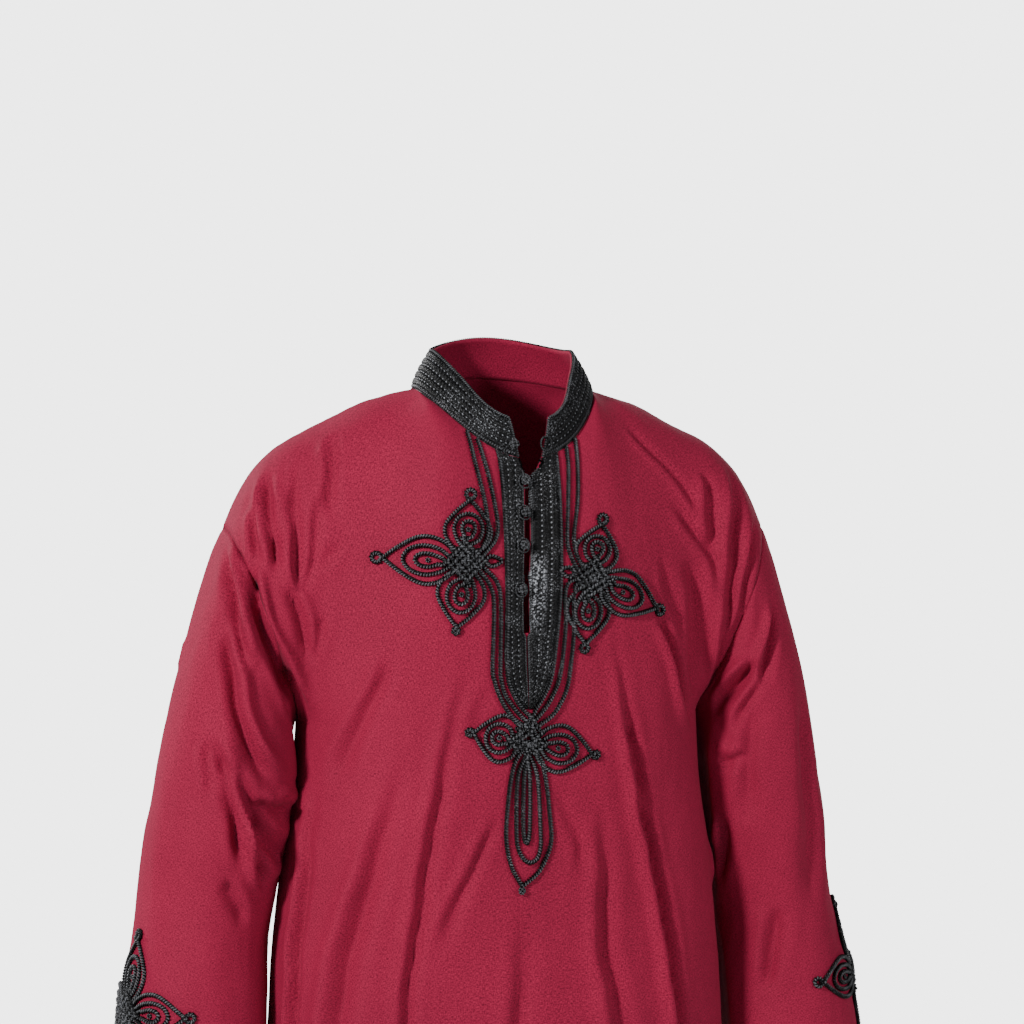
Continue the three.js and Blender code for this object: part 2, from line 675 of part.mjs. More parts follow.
// ---------------------------------------------------------------- braid bands of the neck slit
const necklineZ = (x) => lerp(neck.frontZ, neck.sideZ, Math.min(Math.abs(x) / neck.halfWidth, 1) ** 2);

function placketBraid(side) {
  const columns = 2 * braid.ribs;
  const open = slit.halfGap + cloth.seamGap * 2;
  const points = [];
  const normals = [];
  for (let row = 0; row <= bands.rows; row++) {
    const share = (row / bands.rows) ** 0.85;
    const line = [];
    for (let column = 0; column <= columns; column++) {
      const across = column / columns;
      const z = lerp(bands.topZ, placket.at(-1).z, share);
      const apart = smooth(z, bands.meetAtZ - 7, bands.meetAtZ + 7);
      const slitEdge = lerp(0.5, open - slit.halfGap + slitHalfGap(z), apart);
      const inner = placketAt("slit", z) + side * slitEdge;
      const outer = placketAt("middle", z) + side * placketAt("halfWidth", z);
      const x = lerp(inner, side * Math.max(side * outer, side * inner + 1.5), across);
      const top = necklineZ(x - placketAt("slit", neck.frontZ)) - 3;
      const level = lerp(Math.min(z, top), top, (1 - share) ** 6);
      line.push(onPanel(front, "front", x, Math.min(level, top)));
    }
    points.push(line.map((hit) => hit.point));
    normals.push(line.map((hit) => hit.normal));
  }
  const ordered = side > 0 ? (list) => list : (list) => list.map((line) => [...line].reverse());
  const panel = { points: ordered(points), normals: ordered(normals), missing: () => false };
  const outer = panel.points.map((line, row) =>
    line.map((p, column) => p.clone().addScaledVector(panel.normals[row][column], ribAt(column))),
  );
  return slab(panel, outer, offset(panel, braid.clearance));
}

// ---------------------------------------------------------------- couched cord
// A cord swept over the cloth: flat underneath, ridged on top. Each place has a point, a normal and
// the lift that keeps the straight steps between places off the cloth.
function sweep(places, closed = false) {
  const section = [
    [-1, 0],
    [1, 0],
    [0, 1],
  ];
  const sides = section.length;
  const count = places.length;
  const positions = [];
  places.forEach(({ point, normal, lift }, i) => {
    const across = acrossCord(places, i, closed);
    for (const [w, h] of section) {
      const p = point.clone().addScaledVector(across, w * cord.halfWidth);
      p.addScaledVector(normal, lift + h * cord.height);
      positions.push(p.x, p.y, p.z);
    }
  });
  const faces = [];
  for (let i = 0; i < (closed ? count : count - 1); i++) {
    for (let k = 0; k < sides; k++) {
      const a = i * sides + k;
      const b = i * sides + ((k + 1) % sides);
      const c = ((i + 1) % count) * sides + ((k + 1) % sides);
      const d = ((i + 1) % count) * sides + k;
      faces.push(a, c, b, a, d, c);
    }
  }
  const end = (count - 1) * sides;
  if (!closed) faces.push(0, 1, 2, end, end + 2, end + 1);
  const geometry = new THREE.BufferGeometry();
  geometry.setAttribute("position", new THREE.Float32BufferAttribute(positions, 3));
  geometry.setIndex(faces);
  return geometry;
}

function acrossCord(places, i, closed) {
  const count = places.length;
  const before = places[closed ? (i + count - 1) % count : Math.max(i - 1, 0)].point;
  const after = places[closed ? (i + 1) % count : Math.min(i + 1, count - 1)].point;
  return after.clone().sub(before).normalize().cross(places[i].normal).normalize();
}

// Loops of one lobe in its own plane, p along the lobe and q across it: a pointed outer one with a
// ring at its tip, a round middle one, and a small one inside. Each lists the half on its +q side.
function lobeLines({ length, width, plain }) {
  const outer = [
    [-2, 0],
    [0.08 * length, 0.34 * width],
    [0.3 * length, 0.9 * width],
    [0.52 * length, width],
    [0.8 * length, 0.55 * width],
    [length, 0],
  ];
  const middle = [
    [0, 0],
    [0.16 * length, 0.2 * width],
    [0.3 * length, 0.55 * width],
    [0.52 * length, 0.58 * width],
    [0.68 * length, 0.3 * width],
    [0.73 * length, 0],
  ];
  const inner = [
    [0.01 * length, 0],
    [0.28 * length, 0.14 * width],
    [0.42 * length, 0.24 * width],
    [0.52 * length, 0],
  ];
  const tip = { points: ring(length + 4, 0, 4), steps: 6, closed: true };
  const loops = [
    { points: wholeLoop(outer), steps: 12, closed: true },
    { points: wholeLoop(middle), steps: 8, closed: true },
  ];
  return plain ? [...loops, tip] : [...loops, { points: wholeLoop(inner), steps: 4, closed: true }, tip];
}

const wholeLoop = (half) => [...half, ...half.slice(1, -1).reverse().map(([p, q]) => [p, -q])];

function ring(p, q, radius) {
  const turns = [0, 1, 2, 3, 4, 5].map((k) => (k * Math.PI) / 3);
  return turns.map((turn) => [p + radius * Math.cos(turn), q + radius * Math.sin(turn)]);
}

// Turns plane lines into swept cords by a function that gives the cloth's place at (p, q).
function cordsOf(lines, placeAt) {
  return lines.map(({ points, steps, closed = false }) => {
    const curve = new THREE.CatmullRomCurve3(points.map(([p, q]) => vec(p, q, 0)), closed);
    const flat = curve.getSpacedPoints(steps).slice(0, closed ? -1 : undefined);
    const places = flat.map((p) => ({ ...placeAt(p.x, p.y), lift: cord.lift }));
    const count = flat.length;
    for (let i = 0; i < (closed ? count : count - 1); i++) {
      const j = (i + 1) % count;
      const step = flat[j].clone().sub(flat[i]).normalize();
      for (const side of [-1, 0, 1]) {
        const across = acrossCord(places, i, closed).add(acrossCord(places, j, closed)).normalize();
        for (const t of [0.01, 0.25, 0.5, 0.75, 0.99]) {
          const on = flat[i].clone().lerp(flat[j], t);
          on.addScaledVector(vec(step.y, -step.x, 0), side * cord.halfWidth);
          const chord = places[i].point.clone().lerp(places[j].point, t);
          chord.addScaledVector(across, side * cord.halfWidth);
          const cloth = placeAt(on.x, on.y);
          const rise = cloth.point.sub(chord).dot(cloth.normal) + cord.clearance;
          for (const end of [i, j]) places[end].lift = Math.max(places[end].lift, rise);
        }
      }
    }
    return sweep(places, closed);
  });
}

// Places a lobe on the front: its middle and tip are seen from the front by x and z.
const frontPlace = (x, z) => onPanel(front, "front", x, z);

function chestLobe({ middle, tip, width, plain }) {
  const direction = new THREE.Vector2(tip[0] - middle[0], tip[1] - middle[1]);
  const length = direction.length();
  direction.normalize();
  const place = (p, q) => {
    const x = middle[0] + direction.x * p - direction.y * q;
    return frontPlace(x, middle[1] + direction.y * p + direction.x * q);
  };
  return cordsOf(lobeLines({ length, width, plain }), place);
}

// The chest cord: a three-lobed knot on each side of the slit, the double lines that carry it down
// and cross below the slit, and the knot with the long pointed loop under the crossing.
const chestLobes = [
  { middle: [-57.3, -142.1], tip: [-52, -89.8], width: 18 },
  { middle: [-59.7, -144], tip: [-127.5, -141.1], width: 19 },
  { middle: [-57.8, -145.9], tip: [-67.5, -202.1], width: 19 },
  { middle: [57.5, -158.5], tip: [70, -113], width: 17 },
  { middle: [59.4, -160.5], tip: [124.3, -189.5], width: 18 },
  { middle: [57.5, -162.4], tip: [50.7, -218.6], width: 19 },
  { middle: [-8.4, -312.5], tip: [-52, -301.9], width: 21 },
  { middle: [0.3, -314.4], tip: [57.5, -321.2], width: 19 },
];
const chestLines = [
  [[-47.2, -43.3], [-45.2, -56.9], [-39.4, -87.8], [-36.9, -109.1], [-38.5, -130.4], [-56.9, -143]],
  [[-37.4, -50.1], [-33.6, -68.4], [-28.7, -100.4], [-27.7, -118.8], [-35.5, -135.3], [-52.9, -147.9]],
  [[-49.1, -142.1], [-37.4, -147.9], [-34.5, -161.4], [-33.6, -183.7], [-35.5, -237.9],
   [-32.6, -255.3], [-26.8, -274.8], [-17.1, -291.2], [-2.6, -306.7]],
  [[-45.2, -138.1], [-30.7, -144], [-27.3, -161.4], [-27.3, -194.4], [-27.7, -237.9], [-25.4, -256.3],
   [-19, -275.7], [-9.4, -290.2], [3.2, -302.8]],
  [[51.6, -39.4], [50.7, -58.8], [47.8, -91.7], [42.9, -126.6], [42.9, -144], [51.6, -157.6]],
  [[42, -46.1], [42, -60.7], [39.1, -91.7], [36.6, -126.6], [38.1, -145.9], [51.6, -165.3]],
  [[47.8, -153.7], [36.1, -160.5], [33.7, -173.1], [33.7, -201.1], [29.9, -233.1], [21.7, -263.1],
   [10, -289.2], [-4.6, -304.7]],
  [[51.6, -161.4], [42.9, -167.3], [41.5, -184.7], [41, -208.9], [38.1, -237.9], [32.3, -260.2],
   [22.6, -281.5], [9, -297], [-9.4, -312.5]],
  [[5.2, -308.7], [-11.3, -324.1], [-19, -341.6], [-23.9, -378.4], [-23.9, -399.6], [-18.1, -421],
   [-8.4, -436.5]],
  [[-10.3, -308.7], [6.1, -324.1], [12.9, -341.6], [17.7, -378.4], [17.7, -403.6], [7.1, -424.8],
   [-8.4, -436.5]],
  [[0.3, -318.3], [-9.4, -332.8], [-14.2, -351.3], [-16.2, -388], [-14.2, -407.4], [-3.5, -418.1]],
  [[-5.5, -318.3], [4.1, -332.8], [8.1, -351.3], [10.9, -388], [9, -407.4], [-3.5, -418.1]],
  [[-3.5, -326.1], [-7, -341.6], [-7, -384.2], [-4.6, -398.7]],
  [[-0.7, -326.1], [0.3, -341.6], [0.3, -384.2], [-4.6, -398.7]],
];
const chestKnot = [-8.9, -439.6];

function chestCord() {
  const lines = chestLines.map((points) => ({ points, steps: Math.round(points.length * 1.4) }));
  const knot = { points: ring(...chestKnot, 3), steps: 5, closed: true };
  return united([...chestLobes.flatMap(chestLobe), ...cordsOf([...lines, knot], frontPlace)]);
}

// The cuff's three-lobed knot lies on the sleeve's outer side, turned a little to the front.
const cuffMotif = { z: -549, turn: 20 };
const cuffLobes = [
  { direction: 90, length: 62, width: 18 },
  { direction: 180, length: 64, width: 18 },
  { direction: 0, length: 64, width: 18 },
];

function cuffCord(panel, side) {
  const length = sleeve[0].z - sleeve.at(-1).z;
  const rowOf = (z) => grid.sleeveTurnRows + ((sleeve[0].z - z) / length) * grid.sleeveRows;
  const place = (p, q) => {
    const z = cuffMotif.z + q;
    const radius = (sizeAt(sleeve, "halfWidth", z) + sizeAt(sleeve, "halfDepth", z)) / 2;
    const turn = rad(cuffMotif.turn) + p / radius;
    const column = ((turn / (2 * Math.PI)) * ringColumns * -side + ringColumns) % ringColumns;
    return atRowColumn(panel, rowOf(z), column);
  };
  const cords = cuffLobes.flatMap(({ direction, ...size }) => {
    const along = new THREE.Vector2(Math.cos(rad(direction)), Math.sin(rad(direction)));
    const lines = lobeLines({ ...size, plain: true });
    return cordsOf(lines, (p, q) => place(along.x * p - along.y * q, along.y * p + along.x * q));
  });
  const stems = [-3, 3].map((x) => ({ points: [[-x * 1.4, 6], [x, -12], [x, -50], [x, -94]], steps: 7 }));
  return united([...cords, ...cordsOf(stems, place)]);
}

// ---------------------------------------------------------------- buttons and loops
const bandTop = braid.clearance + braid.thickness + braid.ribHeight + cloth.seamGap;

// Axes with Y standing off the cloth.
function standing({ point, normal }, height) {
  const across = vec(1, 0, 0).addScaledVector(normal, -normal.x).normalize();
  const place = point.clone().addScaledVector(normal, height);
  return new THREE.Matrix4().makeBasis(across, normal, across.clone().cross(normal)).setPosition(place);
}

// A knotted ball on its short stalk.
function knot(place, height) {
  const profile = [[0, 0], [1.5, 0], [1.5, 1.4], [3.7, 2.6], [4.8, 5.4], [4, 8.4], [2.2, 10], [0, 10.4]];
  const ball = new THREE.LatheGeometry(profile.map(([r, h]) => new THREE.Vector2(r, h)), 9);
  return ball.applyMatrix4(standing(place, height));
}

// A closed loop of thin cord, lying level with the cloth round a knot's stalk.
function loopAround(place, height) {
  const ring = new THREE.TorusGeometry(loop.radius, loop.wire, 4, 10);
  return ring.scale(0.9, 1.05, 1).rotateX(rad(90)).applyMatrix4(standing(place, height));
}

// ---------------------------------------------------------------- the shirt
const shirt = new THREE.Group();

function add(name, geometry, material) {
  const mesh = new THREE.Mesh(geometry, material);
  mesh.name = name;
  shirt.add(mesh);
}

const wine = new THREE.MeshStandardMaterial({ color: 0x8e1f3c, roughness: 0.75, metalness: 0 });
const blackBraid = new THREE.MeshStandardMaterial({ color: 0x101112, roughness: 0.45, metalness: 0 });
const blackCord = new THREE.MeshStandardMaterial({ color: 0x0d0e0f, roughness: 0.4, metalness: 0 });

add("front", clothSolid(front, cloth.wall), wine);
add("back", clothSolid(back, cloth.wall), wine);
add("sleeve_right", clothSolid(rightSleeve, cloth.wall), wine);
add("sleeve_left", clothSolid(leftSleeve, cloth.wall), wine);
add("collar_stand", clothSolid(collarRows(5), collar.wall), wine);
add("collar_braid", collarBraid(), blackBraid);
add("placket_braid_right", placketBraid(-1), blackBraid);
add("placket_braid_left", placketBraid(1), blackBraid);
add("cord_chest", chestCord(), blackCord);
add("cord_cuff_right", cuffCord(rightSleeve, -1), blackCord);
add("cord_cuff_left", cuffCord(leftSleeve, 1), blackCord);

// The collar's button is undone: its knot is at one end of the collar and its loop at the other.
const lastColumn = columnsOf(collarStand) - 1;
const collarKnot = atRowColumn(collarStand, 7, lastColumn - 0.35);
const collarLoop = atRowColumn(collarStand, 7, 0.2);
add("button_1", knot(collarKnot, bandTop), blackCord);
add("button_loop_1", loopAround(collarLoop, bandTop + loop.wire), blackCord);
buttons.forEach(({ x, z }, i) => {
  const place = onPanel(front, "front", x, z);
  add(`button_${i + 2}`, knot(place, bandTop), blackCord);
  add(`button_loop_${i + 2}`, loopAround(place, bandTop + loop.wire), blackCord);
});

export default shirt;
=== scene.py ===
import math

import bmesh
import bpy
import numpy as np
from mathutils import Matrix, Vector, noise
from mathutils.bvhtree import BVHTree


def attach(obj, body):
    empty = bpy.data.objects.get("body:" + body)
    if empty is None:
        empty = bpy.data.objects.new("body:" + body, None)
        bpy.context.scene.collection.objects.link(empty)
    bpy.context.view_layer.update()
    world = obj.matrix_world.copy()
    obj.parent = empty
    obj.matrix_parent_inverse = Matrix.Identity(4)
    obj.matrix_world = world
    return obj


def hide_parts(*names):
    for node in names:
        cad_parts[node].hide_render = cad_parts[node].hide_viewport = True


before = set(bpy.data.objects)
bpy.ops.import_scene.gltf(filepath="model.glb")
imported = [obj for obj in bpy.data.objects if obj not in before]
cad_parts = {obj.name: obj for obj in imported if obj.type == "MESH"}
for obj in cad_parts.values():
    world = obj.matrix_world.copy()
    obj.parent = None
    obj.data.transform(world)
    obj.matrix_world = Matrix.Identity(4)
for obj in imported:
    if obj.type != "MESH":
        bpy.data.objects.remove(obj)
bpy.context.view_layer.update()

# Sizes are in millimetres, as in the solids, and turn into metres where a mesh is made.
mm = 0.001
outward = {"front": -1, "back": 1}

# The neckline, with the share of half a panel that it takes up, and the slit below it.
neck = dict(halfWidth=83, front=88, back=62, sideY=-18, frontZ=-53, sideZ=9, backZ=22, share=5 / 12)
slit = dict(halfGap=2.1, topHalfGap=12, closesToZ=-76, endZ=-211)
# The seam from the side of the neck over the shoulder to the top of the sleeve: x, y and z.
shoulderSeam = [(83, -18, 9), (108, -9, 3), (134, -3, -5), (168, 1, -22), (201, 2, -39), (227, 2, -60),
                (244, 3, -86), (257, 4, -116)]
# The body below the arms, and a sleeve below its top, by height.
torso = [
    dict(z=-290, halfWidth=190, front=116, back=102),
    dict(z=-365, halfWidth=196, front=115, back=96),
    dict(z=-440, halfWidth=206, front=115, back=94),
    dict(z=-520, halfWidth=214, front=117, back=97),
    dict(z=-650, halfWidth=222, front=121, back=106),
    dict(z=-800, halfWidth=230, front=127, back=118),
]
torsoRoundness = 2.4
sleeve = [
    dict(z=-345, x=252, halfWidth=65, y=8, halfDepth=72),
    dict(z=-400, x=261, halfWidth=66, y=13, halfDepth=72),
    dict(z=-450, x=269, halfWidth=63, y=18, halfDepth=70),
    dict(z=-490, x=277, halfWidth=61, y=16, halfDepth=68),
    dict(z=-540, x=283, halfWidth=67, y=10, halfDepth=68),
    dict(z=-650, x=290, halfWidth=69, y=-4, halfDepth=68),
]
sleeveClearance = 6
# The slit's middle, and the middle and half width of the two bands of braid beside it, by height.
placket = [
    dict(z=-44, slit=8, middle=5, halfWidth=33),
    dict(z=-60, slit=6, middle=4.8, halfWidth=29),
    dict(z=-81, slit=2.5, middle=5.8, halfWidth=28),
    dict(z=-130, slit=0, middle=5.3, halfWidth=27.3),
    dict(z=-179, slit=-3.5, middle=3.7, halfWidth=26.3),
    dict(z=-232, slit=-3.5, middle=-0.3, halfWidth=24),
    dict(z=-251, slit=-3, middle=-2, halfWidth=19),
    dict(z=-266, slit=-2.5, middle=-2.5, halfWidth=11.5),
    dict(z=-276, slit=-2.5, middle=-2.5, halfWidth=4.5),
]


def lerp(a, b, t):
    return a + (b - a) * t


def smooth(x, low, high):
    t = np.clip((np.asarray(x, float) - low) / (high - low), 0, 1)
    return t * t * (3 - 2 * t)


def hermite(a, slopeA, b, slopeB, t):
    t2, t3 = t * t, t * t * t
    return ((2 * t3 - 3 * t2 + 1) * a + (t3 - 2 * t2 + t) * slopeA
            + (3 * t2 - 2 * t3) * b + (t3 - t2) * slopeB)


def sizeAt(table, column, z):
    # A column of a table at a height, smoothly between its rows.
    heights = np.array([row["z"] for row in table], float)
    values = np.array([row[column] for row in table], float)
    last = len(table) - 1
    z = np.clip(z, heights[-1], heights[0])
    i = np.clip(np.searchsorted(-heights, -z), 1, last)
    t = (z - heights[i - 1]) / (heights[i] - heights[i - 1])
    slopeIn = (values[i] - values[np.maximum(i - 2, 0)]) / 2
    slopeOut = (values[np.minimum(i + 1, last)] - values[i - 1]) / 2
    return hermite(values[i - 1], slopeIn, values[i], slopeOut, t)


def spline(points, fine=12):
    # A smooth line through the points, fine steps to each stretch.
    p = np.asarray(points, float)
    p = np.concatenate([2 * p[:1] - p[1:2], p, 2 * p[-1:] - p[-2:-1]])
    t = np.arange(fine)[:, None] / fine
    fours = zip(p[:-3], p[1:-2], p[2:-1], p[3:])
    parts = [hermite(b, (c - a) / 2, c, (d - b) / 2, t) for a, b, c, d in fours]
    return np.concatenate(parts + [p[-2:-1]])


def lengths(p):
    # How far along a line each of its points is.
    return np.concatenate([[0], np.cumsum(np.linalg.norm(np.diff(p, axis=0), axis=1))])


def spaced(p, step):
    # The same line in equal steps of about the given length.
    length = lengths(p)
    at = np.linspace(0, length[-1], max(int(round(length[-1] / step)), 2) + 1)
    return np.stack([np.interp(at, length, p[:, k]) for k in range(p.shape[1])], 1)


def evened(values, reach):
    # Each value as the mean of itself and its neighbours within reach, column by column.
    if values.ndim > 1:
        return np.stack([evened(column, reach) for column in values.T], 1)
    count = 2 * reach + 1
    return np.convolve(np.pad(values, reach, mode="edge"), np.ones(count) / count, "valid")


def unit(v):
    return v / np.maximum(np.linalg.norm(v, axis=-1, keepdims=True), 1e-9)


# The plain form of the panels of cloth, before its folds.
def necklinePoint(face, share):
    angle = np.asarray(share, float) * math.pi / 2
    depth = outward[face] * neck[face] - neck["sideY"]
    return np.stack([
        neck["halfWidth"] * np.sin(angle),
        neck["sideY"] + depth * np.cos(angle),
        lerp(neck[face + "Z"], neck["sideZ"], np.sin(angle) ** 2),
    ], -1)


def torsoPoint(face, s, z):
    power = 2 / torsoRoundness
    angle = s * math.pi / 2
    return np.stack([
        sizeAt(torso, "halfWidth", z) * np.sin(angle) ** power,
        outward[face] * sizeAt(torso, face, z) * np.maximum(np.cos(angle), 0) ** power,
        z + 0 * s,
    ], -1)


# How steeply the cloth of a body panel leaves the shoulder and comes to the height of the underarm, at
# its middle and at the arm, and a sleeve likewise, at its inner and its outer side.
drape = dict(topX=(0, -10), topY=dict(front=(56, 245), back=(130, 245)), topZ=(-226, -25),
             lowX=(0, -40), lowY=(8, 245), lowZ=(-236, -100))
sleeveDrape = dict(top=[(14, 84), (8, 10), (-50, -190)], low=[(12, 32), (14, 8), (-62, -215)])


def bodyPoint(face, s, t):
    # s runs from the middle to the sleeve and side seams, t from the top past the underarm to the hem.
    s, t = np.broadcast_arrays(np.asarray(s, float), np.asarray(t, float))
    seam = spline(shoulderSeam, fine=24)
    at = np.clip((s - neck["share"]) / (1 - neck["share"]), 0, 1) * (len(seam) - 1)
    shoulder = np.stack([np.interp(at, np.arange(len(seam)), seam[:, k]) for k in range(3)], -1)
    atNeck = necklinePoint(face, np.minimum(s / neck["share"], 1))
    top = np.where((s <= neck["share"])[..., None], atNeck, shoulder)
    under = torso[0]["z"]
    end = torsoPoint(face, s, np.full(s.shape, float(under)))
    out = outward[face]
    over = smooth(s, 0, neck["share"])
    arm = smooth(s, 0.72, 1)
    startSlope = np.stack([lerp(*drape["topX"], arm), out * lerp(*drape["topY"][face], over),
                           lerp(*drape["topZ"], over)], -1)
    endSlope = np.stack([lerp(*drape["lowX"], arm), -out * lerp(*drape["lowY"], arm),
                         lerp(*drape["lowZ"], arm)], -1)
    above = hermite(top, startSlope, end, endSlope, np.minimum(t, 1)[..., None])
    below = torsoPoint(face, s, lerp(under, torso[-1]["z"], np.maximum(t - 1, 0)))
    return np.where((t >= 1)[..., None], below, above)


def slitHalfGap(z):
    closed = smooth(-z, -neck["frontZ"] - 6, -slit["closesToZ"])
    return lerp(slit["topHalfGap"], slit["halfGap"], closed)


def slitDrift(s, z):
    return sizeAt(placket, "slit", z) * (1 - smooth(12 * s, 1, 5))


# How many steps of cloth lie down the armhole, from there to the hem, across half a body panel,
# and down a sleeve to the elbow and from there to the cuff.
steps = dict(arm=76, skirt=150, half=80, sleeveTop=42, sleeveLow=84)
bodyT = [np.linspace(0, 1, steps["arm"] + 1), np.linspace(1, 2, steps["skirt"] + 1)[1:]]
bodyT = np.concatenate(bodyT)[:, None]


def eased(half):
    # Softens the corner that the side of the neck would draw down the cloth.
    weight = smooth(bodyT, 0.0, 0.4)[..., None]
    for _ in range(90):
        middle = (half[:, :-2] + half[:, 2:]) / 2
        half[:, 1:-1] += 0.5 * weight * (middle - half[:, 1:-1])
    return half


def frontPoints():
    s = np.linspace(0, 1, steps["half"] + 1)[None, :]
    middle = bodyPoint("front", np.zeros((1, 1)), bodyT)[..., 2]
    first = 1 / 12
    reach = bodyPoint("front", np.full((1, 1), first), bodyT)[..., 0]
    start = first * slitHalfGap(middle) / reach
    s = np.where(s < first, start + s / first * (first - start), s)
    half = eased(bodyPoint("front", s, bodyT))
    drift = slitDrift(s, middle)
    sides = [half * (sign, 1, 1) + np.stack([drift, 0 * drift, 0 * drift], -1) for sign in (-1, 1)]
    return np.concatenate([sides[0][:, ::-1], sides[1]], 1)


def backPoints():
    half = eased(bodyPoint("back", np.linspace(0, 1, steps["half"] + 1)[None, :], bodyT))
    return np.concatenate([half[:, ::-1], half[:, 1:] * (-1, 1, 1)], 1)


def besideTorso(p, share):
    depth = np.where(p[..., 1] < 0, sizeAt(torso, "front", p[..., 2]), sizeAt(torso, "back", p[..., 2]))
    room = np.maximum(1 - (abs(p[..., 1]) / depth) ** torsoRoundness, 0) ** (1 / torsoRoundness)
    edge = sizeAt(torso, "halfWidth", p[..., 2]) * room + sleeveClearance * share
    inside = (p[..., 2] < torso[0]["z"]) & (p[..., 0] < edge)
    return np.stack([np.where(inside, edge, p[..., 0]), p[..., 1], p[..., 2]], -1)


def sleevePoints(side):
    count = 2 * steps["arm"]
    k = np.arange(count)
    t = np.where(k <= steps["arm"], k, count - k) / steps["arm"]
    seam = np.where((k <= steps["arm"])[:, None], bodyPoint("front", np.ones(count), t),
                    bodyPoint("back", np.ones(count), t))
    angle = 2 * math.pi * k / count

    def ring(z):
        p = np.stack([sizeAt(sleeve, "x", z) + sizeAt(sleeve, "halfWidth", z) * np.cos(angle),
                      sizeAt(sleeve, "y", z) - sizeAt(sleeve, "halfDepth", z) * np.sin(angle),
                      np.full(count, float(z))], -1)
        return besideTorso(p, 1)

    outer = (1 + np.cos(angle)) / 2
    startSlope, endSlope = (np.stack([lerp(*pair, outer) for pair in sleeveDrape[end]], -1)
                            for end in ("top", "low"))
    top, low = sleeve[0]["z"], sleeve[-1]["z"]
    rows = []
    for row in range(steps["sleeveTop"]):
        share = row / steps["sleeveTop"]
        rows.append(besideTorso(hermite(seam, startSlope, ring(top), endSlope, share), share ** 3))
    rows += [ring(lerp(top, low, row / steps["sleeveLow"])) for row in range(steps["sleeveLow"] + 1)]
    points = np.array(rows) * (side, 1, 1)
    return points if side < 0 else np.concatenate([points[:, :1], points[:, :0:-1]], 1)


# All panels of cloth as one welded set of points, so that neighbours move together at a seam.
class Cloth:

    def __init__(self, grids, closed):
        self.closed = closed
        stacked = np.concatenate([g.reshape(-1, 3) for g in grids.values()])
        keys = np.rint(stacked * 20).astype(int)
        _, first, which = np.unique(keys, axis=0, return_index=True, return_inverse=True)
        self.points = stacked[first]
        which = which.ravel()
        self.index = {}
        start = 0
        for name, g in grids.items():
            size = g.shape[0] * g.shape[1]
            self.index[name] = which[start:start + size].reshape(g.shape[:2])
            start += size
        self.quads = {}
        for name, index in self.index.items():
            columns = np.concatenate([index, index[:, :1]], 1) if name in closed else index
            upper, lower = columns[:-1], columns[1:]
            quads = np.stack([upper[:, :-1], lower[:, :-1], lower[:, 1:], upper[:, 1:]], -1)
            if name == "front":
                # The neck slit stays open down to its end.
                above = self.points[quads[:, steps["half"], 1], 2] > slit["endZ"]
                self.open = np.zeros(quads.shape[:2], bool)
                self.open[:, steps["half"]] = above
                quads = quads[~self.open]
            self.quads[name] = quads.reshape(-1, 4)

    def normals(self):
        total = np.zeros_like(self.points)
        for quads in self.quads.values():
            a, b, c, d = (self.points[quads[:, k]] for k in range(4))
            n = np.cross(c - a, d - b)
            for k in range(4):
                np.add.at(total, quads[:, k], n)
        return unit(total)

    def tree(self, *names):
        quads = np.concatenate([self.quads[name] for name in names])
        return BVHTree.FromPolygons(self.points.tolist(), quads.tolist())


def cast(tree, start, way, near):
    # Where a ray meets the cloth, and the normal there. Where it misses, the place closest to near.
    hit, normal, _, _ = tree.ray_cast(start, way)
    if hit is None:
        hit, normal, _, _ = tree.find_nearest(near)
    return np.array(hit), np.array(normal)


def onto(tree, face, x, z):
    # Where a line along Y from outside meets the cloth.
    out = outward[face]
    return cast(tree, Vector((x, out * 900, z)), Vector((0, -out, 0)), Vector((x, out * 130, z)))[0]


cloth = Cloth({"front": frontPoints(), "back": backPoints(), "sleeve_right": sleevePoints(-1),
               "sleeve_left": sleevePoints(1)}, ("sleeve_right", "sleeve_left"))
print("cloth points", len(cloth.points))


def crease(depth, width, ridge, edge, *line):
    # A fold along a line on the cloth seen from the front or the back, by its x and z. Depth is how far
    # its trough goes in, width its half width, ridge the share that stands up beside it, on the +X side
    # of a fold that runs down or on the -X side where it is negative, and edge how sharp its trough is.
    return dict(depth=depth, width=width, ridge=ridge, edge=edge, line=line)


